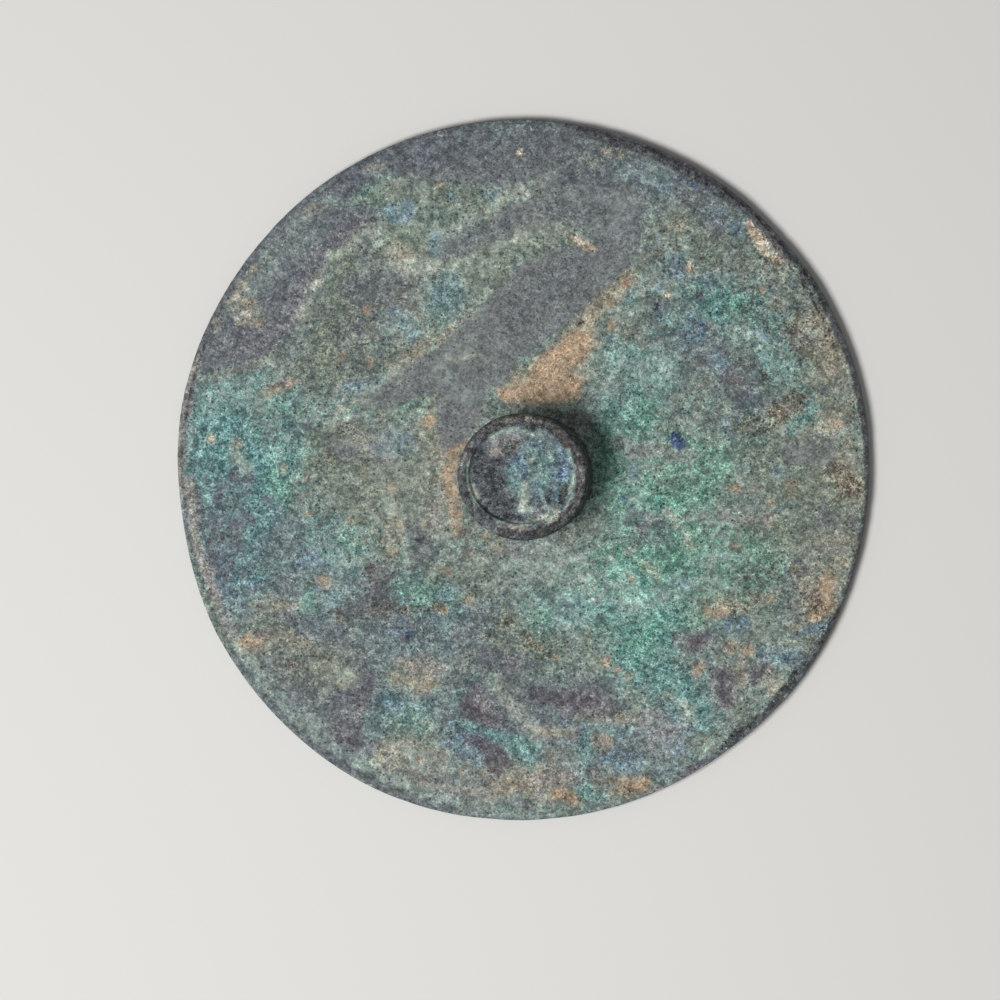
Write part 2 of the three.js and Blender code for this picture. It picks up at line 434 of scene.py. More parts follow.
EARTH = [
    *strokes(
        P.TAN, 2.4, 0.75,
        ((-4, 16.0, 1.8), (2, 17.4, 3.8), (8, 20, 5.2), (11.5, 26.5, 3.0), (13.5, 30.5, 1.8)),
        ((13.5, 30.5, 1.8), (17, 34.5, 2.0), (21, 38.5, 1.8)),
    ),
    *strokes(
        P.ORANGE, 2.2, 0.8,
        ((-3.5, 15.2, 1.4), (3, 15.8, 2.6), (9.5, 17, 2.8)),
        ((4, 20.0, 2.2), (8, 22.5, 2.8), (11.5, 25.5, 2.4)),
        ((-12, 6.2, 1.0), (-14, 3, 1.1), (-14.8, -1, 1.5), (-14, -5, 1.0), (-13.4, -9, 0.9), (-13, -12.2, 0.7)),
        ((61, -21.5, 1.6), (60.5, -25.5, 1.8), (58.5, -28.7, 1.2)),
        ((-52.1, 15.3, 0.6), (-50, 16.1, 0.7), (-46.9, 17.6, 0.7)),
        ((7.3, -64.2, 1.2), (10.5, -65.2, 0.9)),
        ((20.5, -62.6, 1.3), (24.5, -62.4, 1.3)),
        ((-56, -34.6, 1.4), (-53, -34.2, 1.2)),
        ((38, -27.6, 0.8), (40.5, -27.2, 0.8)),
    ),
    *dabs(
        P.ORANGE, 1.5, 0.65,
        (-7.5, -13.1, 0.6), (-3, 14.3, 0.5), (43, -3.4, 1.1), (46.4, -3, 0.6), (50, -6.3, 0.7), (54.2, -19.3, 0.8),
        (21.8, -21.3, 0.7), (17.7, 33.2, 1.1), (20.3, 37.4, 1.1), (17.9, 29, 1.0), (-31.5, 32, 1.0),
        (-30.7, 21.3, 0.6), (-36.4, 22.8, 0.5), (-19, 9.8, 1.2), (-62.8, 6.2, 0.4), (-26.7, -3.2, 0.9),
        (-24.6, -10.8, 0.8), (-26.5, -16, 0.8), (61.1, 26.4, 0.7), (50, -25.2, 0.6), (-39.9, -22.3, 1.3),
        (-10.2, -25.7, 0.9), (-16.2, -27.8, 0.9), (16.7, -38, 0.8), (19.1, -39.5, 0.6), (35.4, -39, 1.3),
        (42.3, -34.5, 1.2), (45.4, -35.3, 1.4), (6.8, -37.2, 0.5), (-17, 57.5, 0.8), (63.5, 9.5, 0.9),
        (-15.3, -20, 0.6), (48, 36, 0.6), (17.5, -54, 0.9), (-21, -58, 0.9), (-25, -41.5, 0.7),
        (-19, -43, 0.7), (-22, -39, 0.6),
    ),
    *strokes(
        P.TAN, 1.6, 0.6,
        ((-9.5, 31.4, 0.7), (-13.7, 27.8, 1.5), (-17.9, 26.2, 1.8), (-21.5, 24.1, 1.6), (-26, 20.6, 0.8)),
        ((60.5, -14.5, 0.7), (65.5, -12.6, 0.9)),
        ((-15, 20.8, 0.5), (-11, 22.3, 0.9), (-6.8, 22.4, 0.8)),
        ((24.8, -18.5, 0.8), (27, -20.2, 0.8)),
        ((-25.8, -9, 1.2), (-26.5, -13, 1.8)),
        ((11.4, -48.6, 1.2), (17, -49, 1.4), (22, -49, 1.0)),
        ((5, -51.6, 1.2), (10, -52.6, 1.4)),
        ((15.4, -53.6, 1.5), (17, -54.8, 1.2)),
        ((43.8, -38.5, 1.4), (43.5, -42, 1.3)),
        ((-40, -40, 1.6), (-36, -42.4, 1.8), (-33.5, -41, 1.2)),
        ((-20, -62.5, 1.3), (-9, -64.2, 1.6), (-2, -62.6, 1.6)),
    ),
    *strokes(
        P.TAN, 3.0, 0.6,
        ((-55, -35.4, 2.0), (-52, -34.6, 2.0)),
        ((-54, -26.6, 1.4), (-46, -27, 1.5)),
        ((-27, -57, 3.0), (-20, -58, 3.4), (-17, -61, 2.4)),
        ((-14, -63.6, 1.6), (-6, -64.6, 1.7), (0, -62, 1.8)),
        ((3.5, -63, 2.8), (7, -62, 2.0)),
        ((-47, -33.6, 2.0), (-43.5, -34, 1.8)),
        ((62, 9.6, 1.6),),
        ((58.5, 31.5, 2.2), (61, 26, 2.0), (62, 20, 1.8)),
        ((63, 3, 2.2), (66, -3, 2.0)),
        ((57, -22, 2.4), (59.5, -26, 2.4)),
        ((53, 12, 1.6), (47, 10, 2.0)),
        ((16, -62, 2.0), (20, -62.6, 2.4)),
        ((40, -26.6, 1.5), (43, -26, 1.8), (49.9, -24.2, 1.0)),
        ((50, -41, 2.0), (51, -44, 1.6)),
        ((-25, 44, 1.8), (-22, 42, 1.8)),
        ((-20, -41, 3.6), (-24, -40, 2.4)),
        ((54.2, -3, 1.5),),
        ((31, 48.6, 1.6),),
    ),
    *dabs(
        P.TAN, 1.4, 0.65,
        (0.9, 55.1, 0.6), (18.2, 65.5, 1.0), (24.5, 42.6, 1.1), (55.3, 28.5, 1.2), (-31, 27.5, 1.3),
        (-43.5, -1.7, 1.1), (-48.4, 0.5, 0.9), (-43, -8.4, 0.9), (-34.3, -10, 0.8), (7.3, -17.9, 1.0),
        (-5.1, -15.4, 1.4), (49.9, -9.3, 0.9), (42.5, -14.5, 0.8), (26, -9.1, 0.8), (-57.8, 5.4, 1.1), (16.4, -38, 0.7),
        (21.3, -40.8, 0.8), (29.3, -44.4, 1.0), (54.5, -31, 1.3), (-46.9, -39.5, 1.4), (-24, 58, 1.0), (-26, 56, 1.6),
    ),
    *strokes(
        P.BROWN, 2.0, 0.5,
        ((45.5, 9, 2.2), (51, 11, 2.4), (55, 14, 2.0)),
        ((62, 1, 1.6), (66, -3.5, 1.8)),
        ((40.6, -25.5, 1.4), (44, -26.8, 1.6)),
        ((-30.7, -20.6, 1.5), (-28.6, -23.5, 1.9), (-29.6, -26.8, 1.3)),
        ((1.4, -33.8, 1.0), (4.6, -36.2, 1.1)),
        ((58, -24, 1.4), (59.5, -28, 1.3)),
        ((12, -47.6, 1.0), (19, -47.6, 1.2)),
        ((-16.5, -27.6, 1.2), (-38, -28.5, 0.8), (-35.4, -29.5, 0.8)),
    ),
    *dabs(
        P.BROWN, 1.6, 0.6,
        (-2.9, -29.9, 0.9), (-35.4, 7.8, 1.8), (-38.8, 3.5, 1.2), (-46.8, -39.5, 1.0), (10, 18.5, 0.7), (6, 21.5, 0.6),
        (49, 19, 1.0), (53.5, 27.7, 0.9), (9, -65, 0.7), (16, -55.8, 0.6), (21, -63.4, 0.8),
    ),
    *strokes(
        P.LILAC, 2.4, 0.55,
        ((25, -49.6, 2.2), (31, -51.6, 2.6), (28, -53, 2.4)),
        ((19.5, 5.5, 1.2), (24, 4.6, 1.8), (28, 4, 1.4), (33.5, 2.9, 1.2)),
        ((12.5, -21.6, 2.0), (15, -24, 2.2)),
        ((-2.3, -15.6, 0.8), (2, -16, 1.0), (6.6, -14.6, 0.7)),
        ((13.6, -60.4, 1.2), (5, -61.4, 1.5), (3, -63.5, 1.5)),
        ((15, -18.5, 1.2), (18.2, -17.8, 0.7)),
        ((21.7, -16.4, 1.0), (26, -9.1, 0.8), (50, -9.3, 0.9)),
        ((-22, -37.8, 1.6), (-17, -40, 1.4)),
    ),
]

GREY_METAL = [
    *strokes(
        P.BARE, 0.8, 0.92,
        ((-31, 12.5, 0.8), (-27, 15.2, 1.7), (-22, 19, 2.0), (-16, 22.5, 2.2), (-9, 26.5, 4.3), (-2, 29.5, 6.8)),
        ((-2, 29.5, 6.8), (5, 35.5, 7.4), (13, 40.5, 5.4), (18, 45.5, 5.6), (18, 52, 6.0), (10, 53, 3.5)),
        ((-26, 14, 1.4), (-18, 18.5, 2.4), (-11, 19.5, 4.2), (-5, 20.5, 3.4)),
        ((-12, 16, 4.8), (-12.5, 12, 4.8), (-14, 8, 3.4), (-15, 6, 1.6)),
    ),
    *strokes(
        P.BARE, 2.0, 0.75,
        ((-16, 43.5, 1.4), (-11, 45.5, 2.2), (-5, 48, 2.2), (1, 50.8, 2.8), (7, 52.5, 3.0)),
        ((-22, 59, 1.4), (-14, 60.3, 2.6), (-6, 60, 3.0), (3, 61, 3.0), (9, 61.5, 2.5)),
        ((54, 3, 2.0), (61, 4, 2.2)),
        ((-38.6, 5, 1.6), (-35, 3.6, 2.0)),
    ),
    *strokes(
        P.DARK, 4.0, 0.5,
        ((-2, 30.5, 2.5), (5, 36.5, 3.5), (11, 41, 3.0)),
        ((-21, 59.5, 1.6), (-6, 60.5, 2.8), (9, 61.5, 2.4)),
        ((-14.5, 44.5, 1.8), (-9.5, 46.5, 2.2), (-4, 49, 2.2)),
        ((-15.5, 7.5, 1.0), (-14.5, 12, 1.0)),
        ((3, 26.5, 1.2), (10, 32, 1.4), (16, 38, 1.4)),
    ),
    *strokes(
        P.PALE, 3.0, 0.3,
        ((14, 47, 2.5), (19, 51, 3.0)),
        ((-11, 25.5, 1.5), (-17, 20.5, 1.2), (-11, 15, 2.0)),
        ((11, 56, 2.0), (22, 56, 3.0)),
    ),
]

DARK_BORDER = [
    *strokes(
        P.DARK, 0.9, 0.92,
        ((-64, 20.8, 1.6), (-57, 23.4, 3.2), (-52.8, 26.2, 3.4), (-49.6, 29.2, 3.2), (-47.4, 32.6, 3.2)),
        ((-47.4, 32.6, 3.2), (-44.3, 37.4, 3.1), (-42.9, 41, 3.0), (-41.6, 46.4, 3.0), (-37.2, 47.4, 2.9)),
        ((-37.2, 47.4, 2.9), (-36, 49.9, 2.6), (-31, 51, 1.8)),
        ((-40, 50, 3.0), (-38.5, 55, 2.0), (-34, 58, 2.2), (-30, 60, 2.0), (-24, 61, 2.0), (-18, 62.6, 2.2)),
    ),
    *strokes(
        P.DARK, 2.5, 0.92,
        ((-63, 26, 5.0), (-56, 33, 8.0), (-49, 42, 7.5), (-43, 51, 5.0), (-36, 58.5, 3.0), (-27, 62.5, 3.0)),
        ((-27, 62.5, 3.0), (-18, 64, 3.4), (-6, 65, 3.4), (6, 65, 2.6)),
    ),
    *strokes(
        P.LILAC, 2.4, 0.15,
        ((-60, 24, 2.4), (-52, 25.5, 2.8), (-46, 32, 2.3), (-42.5, 38, 2.3), (-41, 43, 2.3), (-37, 46.5, 1.8)),
        ((-37, 46.5, 1.8), (-31, 50, 1.4)),
    ),
    *strokes(
        P.PALE, 4.0, 0.28,
        ((-59, 35, 3.6), (-53, 40, 3.6), (-46, 47, 4.0), (-40, 53, 2.6)),
    ),
    *strokes(
        P.DARK, 3.0, 0.7,
        ((5, 66, 2.2), (18, 64.5, 2.6), (28, 61.5, 2.2), (36, 57.5, 2.2)),
        ((8, 58, 1.4), (15, 57.5, 1.9), (18, 57.5, 1.0)),
        ((-33, 36, 3.6), (-27, 38, 3.0)),
    ),
    *strokes(
        P.TAN, 2.6, 0.62,
        ((-58, 34, 2.0), (-55.5, 31.8, 2.6), (-54, 30, 2.0)),
        ((-58.5, 35.6, 0.9), (-56, 38, 0.7), (-54.5, 40.5, 1.2)),
        ((-43.5, 52, 1.3), (-41, 52.6, 0.7)),
        ((-62.4, 29, 1.1), (-61, 30.4, 0.9)),
    ),
    *strokes(P.PALE, 2.0, 0.4, ((-57.4, 30.4, 0.9), (-54.4, 31.4, 1.2)), ((-31, 59.5, 0.7), (-28.6, 60.2, 0.7))),
    *strokes(P.TAN, 1.6, 0.5, ((-31.4, 60, 0.6), (-28, 60.8, 0.7)), ((17, 63.6, 0.7), (20, 63.2, 0.8))),
]

DARK_BLOTCHES = [
    *strokes(
        P.DARK, 2.4, 0.75,
        ((-29.2, -21.5, 1.8), (-29.5, -25.5, 2.4), (-36, -28.4, 1.4)),
        ((-22.5, -11.5, 1.4), (-20, -15.5, 2.4), (-19.5, -18.5, 1.4)),
        ((-47, -30, 2.0), (-38.5, -33, 2.4)),
        ((-30.6, -40.5, 1.4), (-31, -44.5, 1.8), (-38, -46, 1.8)),
        ((-47, -46.6, 1.2), (-41, -48.4, 1.6), (-35, -53.4, 3.6)),
        ((-8, -36.6, 1.4), (-3, -38.4, 2.4), (1, -38, 1.4)),
        ((-9.4, -43.6, 2.4), (-10.5, -47.4, 2.4), (-5.4, -48.6, 2.8)),
        ((3, -44.6, 2.4), (9, -46, 3.8), (16.5, -46.4, 2.8)),
        ((44.5, 14, 2.2), (48, 12.5, 1.6)),
        ((-57, -2, 3.0), (-60, -10, 4.6), (-61, -19, 3.0)),
        ((22.7, -9.3, 1.8), (26, -10.6, 2.6), (29, -13.6, 2.0)),
        ((-17.6, -65.4, 1.0), (-11, -65.6, 1.1)),
        ((-2, -66, 1.2), (1, -67.4, 1.0)),
        ((32, -33.4, 1.6), (38, -32.6, 1.4)),
    ),
    *dabs(
        P.DARK, 1.4, 0.75,
        (26.5, 43, 0.9), (24.7, 51.5, 0.8), (27, 33, 1.4), (35.9, 35, 0.8), (33.5, 58, 1.4), (36, 56, 1.2), (31, 56, 1.0),
        (56, 37.5, 1.1), (43.6, 21.9, 0.9), (57.7, 25.9, 0.5), (54, 27.5, 1.0), (59.5, 16.5, 1.1), (-18.4, 50.4, 1.0),
        (12, 29.3, 0.4), (38.3, 27.8, 0.9), (-56, -10, 1.7), (-24.4, -31.6, 2.2), (26, -12.6, 2.4), (-51.3, -6.3, 1.1), (-40.6, -2.2, 0.6), (-29.6, 2.5, 0.6),
        (-31.2, 4.9, 0.4), (-45.3, 7.2, 0.8), (-43.7, 9.3, 1.2), (-47.5, -23.4, 2.4), (-25, -60.8, 0.9), (9.6, 57.9, 1.0),
        (-3.5, 48.8, 1.2), (61, -9, 2.2), (66, -9.5, 1.4), (40, 18.6, 1.2), (-60, 31, 1.2), (-49.5, 36, 1.6),
    ),
    *dabs(
        P.SOOT, 0.9, 0.6,
        (-27.6, -22.6, 0.6), (-29.5, -26.6, 0.5), (-37, -29, 0.5), (-2.7, -30, 0.5), (33.6, 57.6, 0.6), (12, 29.3, 0.4),
        (26.5, 43, 0.4), (27, 33, 0.5), (35.9, 35, 0.4), (-18.4, 50.4, 0.5), (54, 27.5, 0.5), (5.2, -36.6, 0.5),
        (-21, -14, 0.5), (56, 37.5, 0.5), (-10, -38, 0.4), (-6, -32.6, 0.4),
    ),
    *strokes(
        P.LILAC, 1.8, 0.6,
        ((33.5, -34.5, 2.0), (37.5, -32.8, 1.6)),
        ((40, -40.5, 2.6), (40, -45, 2.4)),
        ((42, 18.5, 1.8),),
        ((48.8, -38.2, 1.2), (46.2, -42, 1.2)),
        ((-9, -45.5, 2.0), (-6, -49, 2.0)),
        ((9, -46, 2.6), (16, -46.4, 1.8)),
        ((-36, -52.6, 2.6), (-32, -44.6, 1.4)),
        ((-2, -38.2, 1.6),),
    ),
    *strokes(
        P.VIOLET, 1.4, 0.8,
        ((33.6, -35, 0.9), (34.6, -34, 1.1), (37.6, -32.6, 0.7)),
        ((40.4, -40.6, 1.4), (40.2, -43, 1.5), (40.8, -46.4, 0.8)),
        ((48.7, -38.4, 0.6), (46.6, -41.6, 0.5)),
        ((-10.6, -53.4, 0.9), (-8, -54.6, 1.1), (-5, -57.6, 2.0), (-5, -60.4, 1.0)),
        ((-34.6, -51.6, 1.6), (-34, -54.6, 1.8)),
        ((-31, -41, 1.0), (-31.4, -44, 1.0)),
        ((-9.8, -43.2, 0.9), (-11, -47.4, 1.2), (-6, -49.6, 1.1)),
        ((2.6, -44.6, 1.2), (8, -45.4, 1.6), (15, -46, 1.2)),
        ((41.7, 18.4, 0.9),),
    ),
]

STREAKS = (
    ((-16.3, 47.6, 0.3), (-12.6, 49.1, 0.6), (-9.5, 50.7, 0.8), (-6.4, 51.7, 0.8), (-4.8, 52.8, 0.8)),
    ((-4.8, 52.8, 0.8), (-2.2, 55.4, 1.2), (0.9, 56.9, 1.3), (5.7, 58.2, 0.8)),
    ((-18.4, 40, 0.3), (-14.7, 40.5, 0.35), (-10.6, 41.8, 0.4), (-7.4, 43.6, 0.4), (-4.3, 45.2, 0.45)),
    ((-4.3, 45.2, 0.45), (-0.1, 46.5, 1.1), (4, 47.6, 1.2), (7.5, 47.8, 1.0)),
    ((-24.5, 41.6, 1.0), (-21.5, 41.6, 1.7), (-18.5, 41.0, 1.2)),
    ((-22.5, 41.4, 1.0), (-20, 41.2, 1.0)),
    ((-15.3, 21.8, 0.3), (-11.5, 23, 0.5), (-8, 22.6, 0.4)),
    ((-38.5, 8.8, 1.1), (-36, 11.3, 1.3), (-33.2, 13.4, 1.1), (-30.1, 15.5, 0.8), (-25, 19.6, 0.6)),
    ((-44.8, 30, 1.1), (-42.5, 34.5, 0.8), (-40.8, 39, 0.7)),
    ((-38.5, 43, 0.8), (-34, 44.5, 0.9)),
    ((-33.5, 46, 1.0), (-29, 47.8, 1.0)),
    ((-65.7, 16.6, 0.5), (-60.5, 18.9, 0.6), (-53.2, 21.8, 0.5), (-50, 23.1, 0.4)),
    ((-4.7, -43.4, 0.8), (-1.6, -47.6, 1.1), (2.6, -52.3, 1.3)),
    ((31.8, -45.8, 0.8), (33.6, -48, 1.4)),
    ((-58.4, 3.6, 0.7), (-55.4, 0.4, 0.7)),
    ((29.2, -8, 0.6), (34.5, -14.6, 0.7)),
)

PALE_SKINS = [
    *strokes(P.TAN, 2.2, 0.55, *STREAKS),
    *strokes(P.PALE, 1.6, 0.42, *STREAKS),
    *dabs(
        P.PALE, 1.8, 0.6,
        (-22.6, 28.6, 1.2), (-8, -17.9, 1.1), (-59.5, -23.5, 0.5), (-43.8, -25.6, 0.8), (52.8, 8.4, 0.9), (67.4, 6, 0.7),
        (-36, -29.6, 0.3), (-40.5, -36.1, 0.4), (-15.6, -29.9, 0.3), (-12.3, -32, 0.3), (-24.8, 17.1, 0.35),
        (-30.4, 52.5, 0.5), (31.4, -21.7, 0.9), (25.5, -27, 1.0), (20.4, -41.3, 0.7), (24, 43, 0.4), (-32, 39.5, 0.6),
        (58.5, 27.2, 0.6), (64, 7.2, 0.8), (-20, 57, 0.6), (10.8, 20.5, 0.6),
    ),
    *strokes(
        P.PALE, 3.5, 0.4,
        ((-26, 29.4, 2.0), (-22, 29.5, 2.2)),
        ((-64, 13.5, 2.0), (-57.5, 16.2, 2.4), (-50, 13.5, 2.2)),
        ((-39.5, -16.2, 1.4), (-34.3, -18.6, 1.8)),
        ((20, -22.6, 3.0), (22, -27, 2.4), (32, -22.5, 1.5)),
        ((5, -17.6, 2.4), (13, -21, 3.0), (10, -27, 3.0)),
        ((20, 21.5, 1.8), (28, 20.5, 2.6)),
        ((-28, 57, 1.6), (-25, 56.5, 1.8)),
        ((-44, -48.6, 2.0), (-41, -50.4, 1.6)),
        ((-24, -56.6, 2.6), (-10, -64, 1.4)),
        ((28.5, 60, 2.0), (24, 58.6, 2.4)),
        ((54, -45, 2.2), (49, -48.6, 2.0)),
        ((-39, -41.4, 1.6), (-35, -42, 1.4)),
        ((44, 27, 3.0), (52, 22, 2.0)),
        ((0, -20, 3.0),),
    ),
    *strokes(
        P.CREAM, 0.8, 0.9,
        ((45.2, 49.2, 0.7), (46.7, 47.6, 1.4), (48.8, 45.3, 1.9), (50.9, 43.6, 1.9), (52.6, 42.8, 0.9)),
        ((10.5, 46.2, 0.8), (13, 44.8, 0.9), (14.8, 44, 0.5)),
    ),
    *dabs(
        P.CREAM, 0.7, 0.9,
        (33.6, 40.5, 0.7), (29.2, 34.9, 0.6), (-57.2, 29.5, 0.6), (-0.6, 63.2, 0.5), (-17.1, 67.1, 0.5), (-54.8, 30.9, 0.4),
        (0.9, 55.1, 0.4), (17, -38.2, 0.4), (-24.8, 17.1, 0.3), (-36.5, -29.6, 0.3),
    ),
    *strokes(P.PALE, 0.8, 0.9, ((49.4, 45, 0.4), (50.8, 43.7, 0.7))),
    *strokes(P.SOOT, 0.6, 0.6, ((49, 42.2, 0.35), (52.6, 41.6, 0.35))),
    *strokes(P.INDIGO, 0.7, 0.9, ((30.9, 6.6, 1.2), (31.6, 6.0, 1.2))),
    *dabs(P.INDIGO, 0.8, 0.7, (36, 29.3, 0.5), (20.3, -5.5, 0.4), (34.5, 57, 0.4), (-23, -32.4, 0.6)),
]

# Broad soft fields painted after everything else: some darken wide areas of the back, others lighten them or shift
# their colour.
BROAD_FIELDS = [
    *strokes(
        P.DARK, 8.0, 0.55,
        ((-2, 58.5, 2.5), (10, 58, 3.0), (22, 57, 3.5)),
        ((8, 51, 3.5), (21, 50, 3.5)),
        ((38, 50, 3.5),),
        ((-41, 50, 3.5), (-33, 50.5, 2.5)),
        ((-25, 34.5, 4.0), (-33, 26, 4.5)),
        ((-33, -46, 4.0), (-36, -54, 4.5)),
        ((-26, -61.5, 3.0), (-9, -63, 3.5)),
        ((-50, -38, 4.0), (-42, -45, 3.0)),
        ((46, -22, 3.0), (54, -22, 4.0)),
        # Painted shadow: a dark field centred on the knob's upper side darkens the disc just above the knob.
        ((-1, 9.5, 3.0),),
    ),
    *strokes(
        P.DARK, 8.0, 0.26,
        ((-64, 18.5, 4.0), (-50, 19.5, 4.0)),
        ((-56, 27, 3.0), (-49, 26, 3.5)),
        ((-33, 18, 3.5), (-26, 17.5, 3.0)),
        ((-65, -6, 4.0), (-57, -14, 5.0), (-56, -24, 6.0), (-50, -30, 4.0)),
        ((-45, -14, 4.0),),
        ((-27, -22, 4.0), (-33, -30, 4.0), (-34, -38, 4.5)),
        ((-1, -22, 5.0),),
        ((38, -38, 5.0),),
        ((-1, -46, 5.0),),
        ((14, -54, 4.0), (22, -54, 4.0)),
    ),
    *strokes(
        P.BROWN, 8.0, 0.18,
        ((46, 34, 4.0), (54, 34, 4.0), (54, 42, 3.0), (46, 42, 3.0)),
        ((46, 26, 4.0), (60, 26, 3.5)),
        ((46, -21, 3.0), (54, -22, 4.0)),
    ),
    *strokes(P.TAN, 8.0, 0.25, ((-33, -14, 4.0),), ((-9, -14, 3.5),), ((-25, 10, 2.5), (-18, 3, 2.5))),
    *strokes(P.TEAL, 6.0, 0.35, ((-24.5, 27.5, 3.0), (-27, 24.5, 2.0)), ((-57, -6, 4.0),), ((46, 9, 4.0),)),
    *strokes(P.TEAL, 8.0, 0.25, ((-65, 14, 3.0), (-49, 15, 4.0), (-33, 11, 3.5)), ((-25, -37, 3.0),), ((6, -39, 3.0),)),
    *strokes(P.EMERALD, 8.0, 0.45, ((14, -22, 3.5), (24, -20, 3.0), (31, -14, 4.0)), ((38, -22, 2.5), (46, -22, 2.5))),
    *strokes(
        P.PALE, 8.0, 0.22,
        ((38, -13, 3.5), (39, -22, 3.0)),
        ((-9, 34, 2.0), (-9, 42, 2.0)),
        ((-17, 50, 3.0), (-25, 50, 2.0)),
        ((-25, 2, 4.0), (-25, -7, 4.0)),
        # Painted light: this pale field lightens the disc to the right of the knob, where the knob's shadow falls.
        ((22, 2, 3.5), (22, -6, 3.0)),
        ((-9, -7, 3.0),),
    ),
]


def arc(radius: float, half: float, start: float, end: float) -> tuple[Knot, ...]:
    """Knots of a stroke that follows the rim.

    Args:
        radius: The distance of the stroke's middle from the disc's.
        half: The stroke's half width.
        start: The angle at which it starts, in degrees anticlockwise from +X.
        end: The angle at which it ends.

    Returns:
        A knot every few degrees.
    """
    angles = np.radians(np.linspace(start, end, max(2, round(abs(end - start) / 6.0))))
    return tuple((radius * float(np.cos(a)), radius * float(np.sin(a)), half) for a in angles)


RIM_STROKES = [
    # Painted shade with the rim's dark patina: the dark arcs from -62 to 84 degrees, on the right, and the violet and
    # black arcs over them darken the side of the rim that faces away from the light.
    *strokes(
        P.DARK, 1.2, 0.85,
        arc(68.8, 1.4, 40, 84),
        arc(69.2, 1.0, 24, 40),
        arc(69.5, 0.8, -30, 24),
        arc(69.0, 1.2, -62, -30),
        arc(69.6, 0.9, 82, 160),
        arc(69.6, 0.9, 212, 300),
    ),
    *strokes(P.VIOLET, 1.0, 0.55, arc(69.0, 1.1, 42, 82), arc(69.4, 0.8, -34, 30)),
    *strokes(P.SOOT, 0.6, 0.6, arc(67.8, 0.4, -54, -36), arc(67.4, 0.3, 24, 34), arc(68.9, 0.3, 30, 80)),
    *strokes(P.SOOT, 1.2, 0.3, arc(68.4, 0.9, -52, -24), arc(68.6, 0.9, 28, 78)),
    # Partly the rim's tan and pale crust and partly painted highlight: the lilac, tan and pale arcs, mostly on the left
    # and lower left, lighten the side of the rim that faces the light. The thin violet arcs along them are painted
    # shade lines.
    *strokes(P.LILAC, 1.0, 0.6, arc(67.6, 1.3, 182, 208), arc(69.2, 0.8, 162, 182), arc(69.6, 0.6, 290, 320)),
    *strokes(P.TAN, 1.0, 0.3, arc(67.6, 0.8, 183, 204), arc(69.6, 0.6, 160, 184)),
    *strokes(P.VIOLET, 0.6, 0.6, arc(66.3, 0.3, 183, 198), arc(68.9, 0.25, 163, 196)),
    *strokes(P.PALE, 1.2, 0.35, arc(67.6, 1.2, 212, 262), arc(69.2, 0.5, 262, 296)),
]

BACK_CHART = Chart(
    marks=tuple(
        UNDERCOAT + GREEN_CRUST + BLUE_CRUST + EARTH + GREY_METAL + DARK_BORDER + DARK_BLOTCHES + PALE_SKINS
        + BROAD_FIELDS + RIM_STROKES
    ),
    ground={
        P.OLIVE: (0.34, 0.9),
        P.TEAL: (0.20, 1.0),
        P.EMERALD: (0.04, 1.2),
        P.AZURE: (0.06, 1.2),
        P.TAN: (0.10, 1.2),
        P.ORANGE: (0.01, 1.3),
        P.DARK: (0.13, 1.2),
        P.PALE: (0.07, 1.1),
        P.BROWN: (0.03, 1.3),
        P.LILAC: (0.03, 1.3),
    },
    seed=11,
    origin=(0.5, 0.0),
    wander=0.8,
    patch_size=5.0,
)

